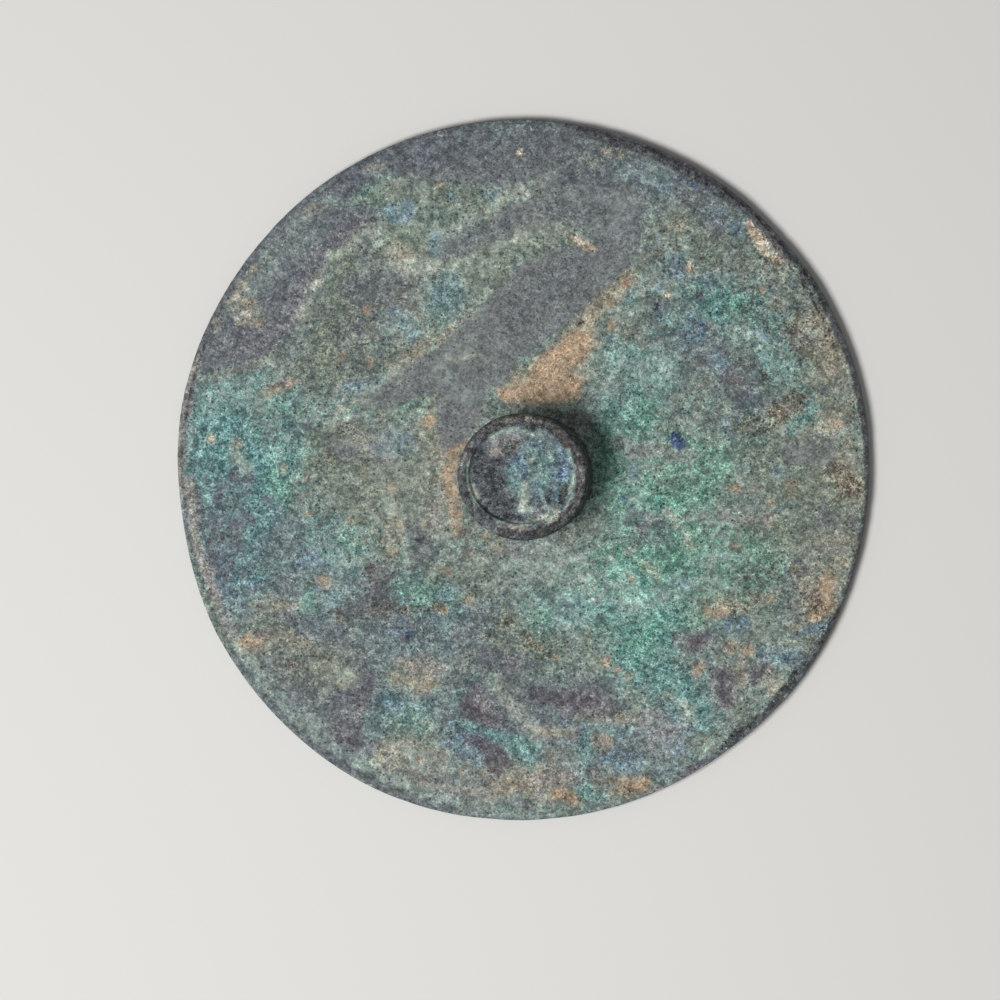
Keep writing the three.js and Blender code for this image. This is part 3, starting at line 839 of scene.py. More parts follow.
KNOB_STROKES = [
    *strokes(P.DARK, 1.0, 0.85, arc(11.8, 1.6, 0, 360)),
    # Painted shade over the ring's dark patina: the black is stronger over the upper and right half, which faces away
    # from the light, than over the rest.
    *strokes(P.SOOT, 1.0, 0.55, arc(11.8, 1.5, -110, 150)),
    *strokes(P.SOOT, 1.0, 0.32, arc(11.8, 1.5, 150, 250)),
    *strokes(P.BROWN, 1.0, 0.2, arc(11.9, 1.1, -70, 130)),
    *strokes(P.BROWN, 1.0, 0.12, arc(11.9, 1.0, 130, 290)),
    *strokes(P.LILAC, 1.4, 0.35, arc(12.2, 0.5, 120, 175), arc(11.6, 0.4, 235, 262), arc(12.0, 0.3, -30, 10)),
    *strokes(P.TAN, 0.8, 0.35, arc(11.4, 0.25, 62, 100), arc(12.0, 0.25, 70, 96)),
    *strokes(P.SOOT, 0.8, 0.5, arc(10.9, 0.5, 20, 75), arc(11.0, 0.6, -60, -20)),
    *strokes(
        P.DARK, 1.8, 0.85,
        ((-8.4, 5.4, 1.8), (-6.5, 0.8, 3.6), (-6.0, -4.5, 3.4), (-2.4, -5.5, 2.2), (-1.2, -7.6, 1.6)),
        ((-2.5, -8.0, 1.6), (-6.0, -7.0, 1.8)),
        ((-4.0, 4.0, 2.4), (-1.6, 5.0, 1.0)),
    ),
    *strokes(
        P.SOOT, 2.2, 0.5,
        ((-8.4, 1.6, 1.0), (-5.0, -0.6, 1.5), (-6.2, -3.8, 1.2)),
        ((-6.9, -7.0, 1.3), (-4.6, -5.6, 0.9), (-2.2, -4.4, 0.9)),
        ((-3.2, 5.9, 0.6), (-3.1, 4.0, 0.7), (-5.0, 2.8, 0.7), (-7.6, 4.4, 0.7)),
        ((-9.4, -1.0, 0.6), (-9.0, 4.2, 0.6)),
        ((-3.4, -7.8, 0.7), (-0.4, -8.2, 0.5)),
    ),
    *strokes(
        P.AZURE, 1.6, 0.7,
        ((6.6, 6.8, 0.7), (8.2, 4.2, 1.4), (9.2, 2.2, 1.1), (8.0, 0.2, 1.2)),
        ((-1.6, 2.6, 1.1), (0.2, 1.0, 1.2), (-0.6, 4.4, 0.7)),
        ((0.4, 6.4, 0.7), (3.4, 6.4, 0.7)),
        ((2.8, -1.4, 0.9), (3.6, -3.8, 0.8), (4.6, -5.4, 0.7)),
        ((6.6, -1.6, 0.5), (6.4, -4.0, 0.5), (7.4, -6.2, 0.5)),
    ),
    *strokes(P.INDIGO, 2.0, 0.25, ((7.2, 2.6, 0.9), (7.0, 0.8, 1.1), (8.4, 0.2, 0.8))),
    *strokes(
        P.TEAL, 2.4, 0.5,
        ((1.8, 5.0, 1.4), (4.6, 3.0, 2.0), (3.6, -0.4, 1.8)),
        ((-2.2, 0.6, 1.1), (-1.2, -2.0, 1.0)),
    ),
    *strokes(
        P.LILAC, 1.6, 0.7,
        ((-5.6, 7.2, 1.0), (-3.4, 7.8, 1.4), (-1.0, 8.0, 1.1)),
        ((-5.6, 4.6, 1.1), (-4.6, 4.8, 1.1)),
        ((-3.6, -9.5, 0.6), (0.6, -9.9, 0.6)),
        ((3.0, -7.2, 1.0), (5.6, -7.2, 1.5), (7.2, -6.8, 0.8)),
    ),
    *strokes(P.TAN, 1.4, 0.35, ((-5.6, 4.6, 0.8), (-4.4, 5.0, 0.8)), ((-3.4, -9.7, 0.4), (0.6, -10.0, 0.4))),
    *strokes(P.BROWN, 1.4, 0.4, ((6.8, 8.4, 0.6), (8.8, 6.2, 0.6)), ((-1.4, 6.2, 0.8), (-2.0, 4.4, 0.6))),
    *strokes(
        P.SOOT, 1.2, 0.7,
        ((8.4, -1.9, 0.7), (8.2, -3.4, 0.9), (7.6, -5.2, 0.5)),
        ((5.4, -2.4, 0.3), (5.6, -3.6, 0.6), (5.2, -4.6, 0.4)),
        ((0.2, 9.9, 0.3), (2.6, 9.4, 0.3)),
    ),
    # Painted highlights: the pale crescents at the top, right, left and bottom of the sunk top stand where its walls
    # and crest catch the light; the thin diagonal line is a pale mark of the patina.
    *strokes(
        P.PALE, 0.7, 0.9,
        ((-6.4, 7.6, 0.35), (-4.0, 9.0, 0.5), (-1.4, 9.4, 0.5), (1.4, 8.9, 0.45), (2.2, 8.3, 0.3)),
        ((8.9, 5.4, 0.4), (10.1, 2.4, 0.5), (10.3, -1.0, 0.55), (9.6, -4.4, 0.5), (8.6, -6.2, 0.4)),
        ((-10.5, 3.0, 0.2), (-10.8, 1.0, 0.28), (-10.6, -0.6, 0.25)),
        ((3.4, -2.6, 0.2), (4.8, -5.6, 0.2), (7.2, -7.6, 0.25)),
        ((-5.0, -8.6, 0.15), (-1.6, -8.9, 0.18), (1.4, -9.4, 0.15)),
    ),
    *strokes(
        P.CREAM, 0.9, 0.3,
        ((0.6, -1.6, 0.5), (0.6, -4.2, 0.65), (0.1, -6.2, 0.65), (1.8, -6.6, 0.5)),
        ((3.0, -8.0, 0.5), (5.6, -8.0, 0.8), (7.0, -6.9, 0.5)),
    ),
    *strokes(
        P.PALE, 0.7, 0.9,
        ((0.6, -1.6, 0.65), (0.6, -4.2, 0.85), (0.1, -6.2, 0.85), (1.8, -6.6, 0.6)),
        ((3.4, -7.8, 0.4), (5.4, -7.6, 0.8), (6.8, -6.8, 0.5)),
        ((-10.2, -1.8, 0.5), (-9.2, -4.4, 0.6)),
    ),
    *strokes(P.TAN, 1.0, 0.4, ((-10.2, -1.8, 0.4), (-9.2, -4.4, 0.5)), ((0.5, -3.4, 0.3), (0.2, -6.0, 0.4))),
    # Painted highlight: a thin pale line on the lower left of the cap's edge, which faces the light.
    *strokes(P.PALE, 0.4, 0.7, arc(13.0, 0.2, 196, 226)),
]

KNOB_CHART = Chart(
    marks=tuple(KNOB_STROKES),
    ground={P.OLIVE: (0.3, 1.0), P.TEAL: (0.14, 1.2), P.DARK: (0.42, 1.2), P.PALE: (0.05, 1.3), P.AZURE: (0.09, 1.2)},
    seed=41,
    wander=0.35,
    patch_size=4.0,
)

FACE_CHART = Chart(
    marks=tuple(
        strokes(P.BARE, 6.0, 0.9, ((-30, -20, 16), (0, 5, 22), (30, 25, 14)), ((20, -38, 10), (40, -25, 8)))
        + strokes(P.TEAL, 8.0, 0.8, ((-45, 30, 9), (-20, 45, 8)), ((50, -5, 7),))
        + strokes(P.ORANGE, 4.0, 0.6, ((-50, -22, 4),), ((12, -52, 5), (22, -50, 3)))
    ),
    ground={P.OLIVE: (0.35, 1.2), P.TEAL: (0.2, 1.5), P.DARK: (0.2, 1.3), P.BARE: (0.2, 2.2), P.TAN: (0.06, 1.2)},
    seed=71,
    wander=1.6,
    patch_size=16.0,
)


@dataclass(frozen=True)
class Span:
    """One stretch of the turned outline: a curve from start to end that bends towards a corner."""

    zone: Zone
    start: tuple[float, float]
    corner: tuple[float, float]
    end: tuple[float, float]
    ring_gap: float
    side_gap: float

    def rings(self) -> Array:
        """Points along the stretch, its start included and its end left to the next one.

        The curve is (1-t) squared of the start, plus 2t(1-t) of the corner, plus t squared of the end.

        Returns:
            One row for each ring, with its radius and its height.
        """
        start, corner, end = (np.array(p) for p in (self.start, self.corner, self.end))
        length = (np.linalg.norm(corner - start) + np.linalg.norm(end - corner) + np.linalg.norm(end - start)) / 2
        t = np.arange(max(1, round(length / self.ring_gap)))[:, None]
        t = t / len(t)
        return (1 - t) ** 2 * start + 2 * t * (1 - t) * corner + t**2 * end


@dataclass(frozen=True)
class Skin:
    """The mirror's skin before it becomes a mesh: places, outward directions, zones and triangles."""

    places: Array
    outward: Array
    zones: Array
    triangles: Array


@dataclass(frozen=True)
class Form:
    """A low lump or hollow: a bell shape with a half length, a half width, a turn and a height."""

    x: float
    y: float
    length: float
    width: float
    turn: float
    height: float

    def relief(self, plane: Array) -> Array:
        """The form's height at each point: height times e to the minus (u squared plus v squared)."""
        turn = np.radians(self.turn)
        dx, dy = plane[:, 0] - self.x, plane[:, 1] - self.y
        u = (dx * np.cos(turn) + dy * np.sin(turn)) / self.length
        v = (dy * np.cos(turn) - dx * np.sin(turn)) / self.width
        return self.height * np.exp(-(u**2) - v**2)


@dataclass
class Mirror:
    """The cast mirror: a round disc with a rounded edge and a stout knob on its back."""

    disc_radius: float = 70.0
    disc_thickness: float = 3.2
    edge_radius: float = 0.9
    rim_width: float = 2.2
    knob_height: float = 13.6
    cap_radius: float = 12.9
    waist_radius: float = 12.2
    foot_radius: float = 13.8
    knob_offset: tuple[float, float] = (2.4, -0.8)
    knob_oval: float = 0.018
    foot_height: float = 1.8
    shoulder_height: float = 1.7
    shoulder_width: float = 1.1
    border_width: float = 1.2
    well_radius: float = 10.1
    well_depth: float = 0.9
    well_y_scale: float = 0.95
    well_shift_y: float = 0.5
    outline_waves: tuple[Knot, ...] = ((2, 0.18, 1.9), (3, 0.09, 0.4), (5, 0.12, 2.6), (9, 0.05, 1.1))
    worn_edges: tuple[Knot, ...] = ((188, 9, 0.55), (43, 5, 0.35), (305, 12, 0.3))
    slack: float = 0.06
    well_forms: tuple[Form, ...] = (
        Form(-2.6, 7.9, 4.2, 1.6, 17, 0.6),
        Form(0.5, -4.2, 3.2, 1.0, 92, 0.65),
        Form(4.6, -7.2, 3.4, 1.4, 22, 0.55),
        Form(-5.2, 4.3, 1.9, 1.6, 0, 0.4),
        Form(-8.6, -3.2, 2.6, 0.9, 112, 0.45),
        Form(7.2, 1.4, 3.0, 1.8, 100, -0.45),
        Form(7.9, -4.0, 2.1, 0.9, 70, -0.6),
        Form(-4.7, -0.8, 1.7, 1.2, 30, -0.5),
        Form(1.0, 1.6, 3.4, 2.4, 140, 0.25),
    )

    @property
    def face_radius(self) -> float:
        """The radius of the flat that the rounded edge leaves."""
        return self.disc_radius - self.edge_radius

    @property
    def top(self) -> float:
        """The height of the knob's top."""
        return self.disc_thickness + self.knob_height

    @property
    def border_middle(self) -> float:
        """The radius at the middle of the border round the knob's sunk top."""
        return self.cap_radius - self.shoulder_width - self.border_width / 2

    def spans(self) -> list[Span]:
        """The turned outline, from the middle of the reflecting face to the middle of the knob's top.

        Returns:
            The stretches in order, each with how close its rings and their points lie.
        """
        face, disc, base = self.face_radius, self.disc_radius, self.disc_thickness
        round_top, rim = base - self.edge_radius, self.face_radius - self.rim_width
        foot, waist, cap, top = self.foot_radius, self.waist_radius, self.cap_radius, self.top
        shoulder, flare = top - self.shoulder_height, top - self.shoulder_height - self.foot_height
        outer = cap - self.shoulder_width
        inner = outer - self.border_width
        well, floor = self.well_radius, top - self.well_depth

        def straight(zone: Zone, start: tuple, end: tuple, ring_gap: float, side_gap: float) -> Span:
            """A stretch whose corner lies halfway, so that it doesn't bend."""
            middle = ((start[0] + end[0]) / 2, (start[1] + end[1]) / 2)
            return Span(zone, start, middle, end, ring_gap, side_gap)

        return [
            straight(Zone.FACE, (0.0, 0.0), (face, 0.0), 1.5, 1.5),
            Span(Zone.EDGE, (face, 0.0), (disc, 0.0), (disc, self.edge_radius), 0.34, 0.58),
            straight(Zone.EDGE, (disc, self.edge_radius), (disc, round_top), 0.40, 0.58),
            Span(Zone.EDGE, (disc, round_top), (disc, base), (face, base), 0.26, 0.58),
            straight(Zone.RIM, (face, base), (rim, base), 0.25, 0.58),
            straight(Zone.BACK, (rim, base), (foot, base), 0.50, 0.56),
            Span(Zone.FOOT, (foot, base), (waist, base), (waist, base + self.foot_height), 0.40, 0.50),
            Span(Zone.SIDE, (waist, base + self.foot_height), (waist, flare), (cap, shoulder), 0.45, 0.48),
            Span(Zone.SHOULDER, (cap, shoulder), (cap, top), (outer, top), 0.15, 0.36),
            straight(Zone.BORDER, (outer, top), (inner, top), 0.15, 0.34),
            straight(Zone.WALL, (inner, top), (well, floor), 0.20, 0.30),
            straight(Zone.WELL, (well, floor), (0.0, floor), 0.26, 0.28),
        ]

    def skin(self) -> Skin:
        """Turns the outline about Z and moves it to where the cast object has it.

        Each ring has as many points as its length asks for, every other ring is turned by half a gap,
        and neighbouring rings are joined by a zip of triangles.

        Returns:
            The closed skin.
        """
        spans = self.spans()
        stretches = [span.rings() for span in spans]
        outline = np.concatenate([*stretches, [spans[-1].end]])
        zones = np.concatenate([[span.zone.value] * len(s) for span, s in zip(spans, stretches)] + [[Zone.WELL.value]])
        gaps = np.concatenate([[span.side_gap] * len(s) for span, s in zip(spans, stretches)] + [[1.0]])
        counts = np.maximum(1, np.round(2 * np.pi * outline[:, 0] / gaps)).astype(int)
        firsts = np.concatenate([[0], np.cumsum(counts)[:-1]])
        ring = np.repeat(np.arange(len(counts)), counts)
        phase = 0.5 * (ring % 2)
        angle = 2 * np.pi * (np.arange(len(ring)) - firsts[ring] + phase) / counts[ring]
        tangent = np.gradient(outline, axis=0)
        tangent[0], tangent[-1] = (1.0, 0.0), (-1.0, 0.0)
        tangent /= np.linalg.norm(tangent, axis=1, keepdims=True)
        slope, rise = tangent[ring, 1], -tangent[ring, 0]
        outward = np.stack([slope * np.cos(angle), slope * np.sin(angle), rise], axis=1)
        places = self.cast(outline[ring, 0], outline[ring, 1], angle)
        pairs = zip(range(len(counts) - 1), range(1, len(counts)))
        triangles = np.concatenate([self._zip(angle, counts, firsts, a, b) for a, b in pairs])
        return Skin(places, outward, zones[ring], triangles)

    @staticmethod
    def _zip(angle: Array, counts: Array, firsts: Array, a: int, b: int) -> Array:
        """Joins two neighbouring rings by triangles.

        Each gap of a ring makes one triangle, whose third corner is the point of the other ring that
        the zip has reached when it comes to the middle of that gap.

        Args:
            angle: The angle of every point.
            counts: How many points each ring has.
            firsts: The number of each ring's first point.
            a: The ring that comes first along the outline.
            b: The ring that comes next.

        Returns:
            The triangles, facing outwards.
        """
        middles = [angle[firsts[r] : firsts[r] + counts[r]] + np.pi / counts[r] for r in (a, b)]
        i, j = np.arange(counts[a]), np.arange(counts[b])
        across_a = np.searchsorted(middles[1], middles[0], side="left") if counts[b] > 1 else 0 * i
        across_b = np.searchsorted(middles[0], middles[1], side="right") if counts[a] > 1 else 0 * j
        on_a = np.stack([i, (i + 1) % counts[a]], axis=1) + firsts[a]
        on_b = np.stack([(j + 1) % counts[b], j], axis=1) + firsts[b]
        made = []
        if counts[a] > 1:
            made.append(np.column_stack([on_a, firsts[b] + across_a % counts[b]]))
        if counts[b] > 1:
            made.append(np.column_stack([firsts[a] + across_b % counts[a], on_b]))
        return np.concatenate(made)

    def cast(self, radius: Array, height: Array, angle: Array) -> Array:
        """Moves points of the true turned form to where the cast and worn object has them.

        The edge stands out by a sum of cosine waves less the worn places, which are bells in the angle.
        The knob is an oval, r times (1 + oval times cos 2a), set off the middle, and the disc's back
        follows it evenly less and less towards the rim. The sunk top is shorter along Y than the cap,
        and lies a little towards +Y.

        Args:
            radius: The points' radii.
            height: Their heights.
            angle: Their angles in radians.

        Returns:
            One row of x, y and z for each point.
        """
        near_edge = smoothstep(self.face_radius / 2, self.face_radius, radius)
        error = sum(high * np.cos(lobes * angle - turn) for lobes, high, turn in self.outline_waves)
        for place, spread, depth in self.worn_edges:
            away = np.cos(angle - np.radians(place)) - 1.0
            error = error - depth * np.exp(away / np.radians(spread) ** 2)
        share = np.clip((self.face_radius - radius) / (self.face_radius - self.foot_radius), 0.0, 1.0)
        share = np.where(height > self.disc_thickness / 2, share, 0.0)
        oval = share * np.minimum(radius, self.foot_radius) * self.knob_oval * np.cos(2 * angle)
        grown = radius + near_edge * (error - self.slack) + oval
        across = grown * np.sin(angle)
        inside = (height > self.top - self.shoulder_height) & (radius < self.border_middle)
        across = np.where(inside, across * self.well_y_scale + self.well_shift_y, across)
        x = grown * np.cos(angle) + share * self.knob_offset[0]
        y = across + share * self.knob_offset[1]
        return np.stack([x, y, height], axis=1)

    def amounts(self, skin: Skin) -> Array:
        """How much of each pigment lies at each point of the skin.

        The back and the reflecting face have a chart each, which meet halfway up the edge. The knob's
        top has its own, in the knob's plane. Its side and the corner at its foot are painted dark, partly
        their dark patina and partly painted shade where the side and the corner fall in shadow.

        Args:
            skin: The mirror's skin.

        Returns:
            One row for each point and one column for each pigment.
        """
        upper = smoothstep(0.2, 0.6, skin.places[:, 2] / self.disc_thickness)[:, None]
        back = BACK_CHART.amounts(skin.places)
        face = FACE_CHART.amounts(skin.places)
        on_knob = skin.places - (*self.knob_offset, 0.0)
        knob = KNOB_CHART.amounts(on_knob)
        disc = upper * back + (1.0 - upper) * face
        # Painted shade together with the knob's dark patina: black, brown and dark cover the knob's side and come in
        # over the curve of its foot.
        lift = smoothstep(self.disc_thickness + 0.1, self.disc_thickness + self.foot_height, skin.places[:, 2])
        disc *= 1.0 - 0.85 * lift[:, None]
        for pigment, share in ((P.SOOT, 0.45), (P.BROWN, 0.25), (P.DARK, 0.15)):
            disc[:, pigment.value] += share * lift
        top = (skin.zones >= Zone.SHOULDER.value)[:, None]
        return np.where(top, knob, disc)

    def relief(self, skin: Skin, amounts: Array) -> Array:
        """How far each point stands out from the smooth cast form.

        Each pigment lies a little higher or lower than its neighbours. The crust is lumpy at a coarse
        and a fine length, and bare metal hardly at all. The rim has a slim bead with a groove inside
        it, the knob's shoulder has fine turned lines, and its sunk top has worn lumps and hollows.

        Args:
            skin: The mirror's skin.
            amounts: The pigments at each point.

        Returns:
            One height for each point.
        """
        heights = {
            P.BARE: -0.10, P.DARK: -0.06, P.VIOLET: -0.14, P.TAN: 0.05, P.ORANGE: 0.03,
            P.EMERALD: 0.05, P.PALE: 0.05, P.CREAM: -0.12, P.INDIGO: 0.34, P.AZURE: 0.04,
        }
        laid = sum(high * amounts[:, pigment.value] for pigment, high in heights.items())
        crust = 1.0 - 0.8 * amounts[:, P.BARE.value]
        lumps = 0.09 * Turbulence(5, 5.5, 2)(skin.places) + 0.07 * Turbulence(6, 1.9, 2, 0.6)(skin.places)
        rough = laid + crust * lumps
        radius = np.hypot(skin.places[:, 0], skin.places[:, 1])
        knob = skin.places - (*self.knob_offset, 0.0)
        reach = np.hypot(knob[:, 0], knob[:, 1])
        bead = 0.20 * np.exp(-(((radius - self.face_radius + 0.2) / 0.32) ** 2))
        groove = 0.16 * np.exp(-(((radius - self.face_radius + 1.1) / 0.35) ** 2))
        lines = 0.035 * np.sin(2 * np.pi * reach / 0.62) * (0.6 + 0.4 * Turbulence(7, 6.0, 2)(skin.places))
        oval = (1.0 + self.knob_oval, (1.0 - self.knob_oval) * self.well_y_scale)
        well = (knob[:, :2] - (0.0, self.well_shift_y)) / oval
        forms = sum(form.relief(well) for form in self.well_forms)
        forms = forms * np.clip(1.0 - (np.hypot(well[:, 0], well[:, 1]) / self.well_radius) ** 6, 0.0, 1.0)
        by_zone = {
            Zone.FACE: 0.25 * np.minimum(lumps, 0.0),
            Zone.EDGE: 0.6 * rough - 0.12,
            Zone.RIM: 0.6 * rough + bead - groove,
            Zone.BACK: rough,
            Zone.FOOT: 0.8 * lumps,
            Zone.SIDE: 0.8 * lumps - 0.05,
            Zone.SHOULDER: 0.3 * lumps + lines - 0.10,
            Zone.BORDER: 0.3 * lumps + lines - 0.10,
            Zone.WALL: 0.4 * lumps - 0.05,
            Zone.WELL: forms + 0.8 * lumps + 0.12 * Turbulence(8, 2.2, 3, 0.7)(skin.places),
        }
        table = np.stack([by_zone[zone] for zone in Zone])
        return table[skin.zones, np.arange(len(skin.zones))]

    def build(self) -> bpy.types.Object:
        """Makes the mirror's mesh.

        Returns:
            The piece, with the pigments stored as colour attributes.
        """
        skin = self.skin()
        amounts = self.amounts(skin)
        places = skin.places + skin.outward * self.relief(skin, amounts)[:, None]
        places[:, 2] = np.clip(places[:, 2], 0.0, self.top)
        mesh = bpy.data.meshes.new("patinated_mirror")
        mesh.vertices.add(len(places))
        mesh.vertices.foreach_set("co", (places * MM).ravel())
        mesh.loops.add(skin.triangles.size)
        mesh.loops.foreach_set("vertex_index", skin.triangles.ravel())
        mesh.polygons.add(len(skin.triangles))
        mesh.polygons.foreach_set("loop_start", np.arange(0, skin.triangles.size, 3))
        mesh.polygons.foreach_set("use_smooth", np.ones(len(skin.triangles), dtype=bool))
        mesh.update(calc_edges=True)
        mesh.validate()
        for layer in sorted({pigment.layer for pigment in Pigment}):
            colours = np.ones((len(places), 4))
            for pigment in (p for p in Pigment if p.layer == layer):
                colours[:, pigment.channel] = amounts[:, pigment.value]
            attribute = mesh.attributes.new(layer, "FLOAT_COLOR", "POINT")
            attribute.data.foreach_set("color", colours.ravel())
        piece = bpy.data.objects.new("patinated_mirror", mesh)
        bpy.context.scene.collection.objects.link(piece)
        return piece

    def dress(self, piece: bpy.types.Object) -> None:
        """Gives the piece its finish and sets it in the frame."""
        piece.data.materials.append(Patina().material())
        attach(piece, "root")
        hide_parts(NODE)


def linear(colour: Colour) -> tuple[float, float, float, float]:
    """A colour of 0 to 255 on a screen, as the light that it stands for.

    Args:
        colour: Red, green and blue.

    Returns:
        Linear red, green and blue with an alpha of 1.
    """
    share = np.array(colour) / 255.0
    light = np.where(share <= 0.04045, share / 12.92, ((share + 0.055) / 1.055) ** 2.4)
    return (float(light[0]), float(light[1]), float(light[2]), 1.0)


class Sheet:
    """A material's node tree, with short ways to add nodes and to join them."""

    def __init__(self, name: str) -> None:
        """Starts an empty material.

        Args:
            name: The material's name.
        """
        self.material = bpy.data.materials.new(name)
        self.material.use_nodes = True
        self.tree = self.material.node_tree
        self.tree.nodes.clear()

    def add(self, kind: str, inputs: dict[int | str, Any] | None = None, **settings: Any) -> bpy.types.Node:
        """Adds a node.

        Args:
            kind: The node's type.
            inputs: For each input, a socket to join it to or a value to set.
            settings: The node's own properties.

        Returns:
            The node.
        """
        node = self.tree.nodes.new(kind)
        for name, value in settings.items():
            setattr(node, name, value)
        for key, value in (inputs or {}).items():
            if isinstance(value, bpy.types.NodeSocket):
                self.tree.links.new(value, node.inputs[key])
            else:
                node.inputs[key].default_value = value
        return node

    def math(self, operation: str, *values: Socket | float) -> Socket:
        """A sum, product or other operation on numbers."""
        return self.add("ShaderNodeMath", dict(enumerate(values)), operation=operation).outputs[0]

    def rise(self, value: Socket, low: float, high: float) -> Socket:
        """A smooth step from 0 to 1 between two values."""
        inputs = {"Value": value, "From Min": low, "From Max": high}
        return self.add("ShaderNodeMapRange", inputs, interpolation_type="SMOOTHSTEP").outputs["Result"]

    def mix(self, share: Socket | float, low: Any, high: Any) -> Socket:
        """A blend of two colours."""
        node = self.add("ShaderNodeMix", data_type="RGBA")
        for key, value in ((0, share), (6, low), (7, high)):
            if isinstance(value, bpy.types.NodeSocket):
                self.tree.links.new(value, node.inputs[key])
            else:
                node.inputs[key].default_value = value
        return node.outputs[2]

    def scaled(self, colour: Any, factor: Socket | float) -> Socket:
        """A colour times a number."""
        return self.add("ShaderNodeVectorMath", {0: colour, "Scale": factor}, operation="SCALE").outputs[0]

    def added(self, one: Socket, other: Socket) -> Socket:
        """The sum of two colours."""
        return self.add("ShaderNodeVectorMath", {0: one, 1: other}, operation="ADD").outputs[0]

    def noise(self, place: Socket, length: float, detail: float, rough: float) -> bpy.types.Node:
        """Noise whose largest features are about a length in millimetres apart."""
        inputs = {"Vector": place, "Scale": 1.0 / (length * MM), "Detail": detail, "Roughness": rough}
        return self.add("ShaderNodeTexNoise", inputs, noise_dimensions="3D")

    def cells(self, place: Socket, length: float) -> bpy.types.Node:
        """Grains about a length in millimetres apart, each with a random colour."""
        return self.add("ShaderNodeTexVoronoi", {"Vector": place, "Scale": 1.0 / (length * MM)})

    def split(self, colour: Socket) -> list[Socket]:
        """The three numbers of a colour."""
        return list(self.add("ShaderNodeSeparateColor", {"Color": colour}).outputs)[:3]


@dataclass(frozen=True)
class Tone:
    """How one pigment looks, how well it hides its neighbours, how far its grains stray, how calm it is."""

    deep: Colour
    light: Colour
    hide: float
    stray: float
    calm: float = 0.0


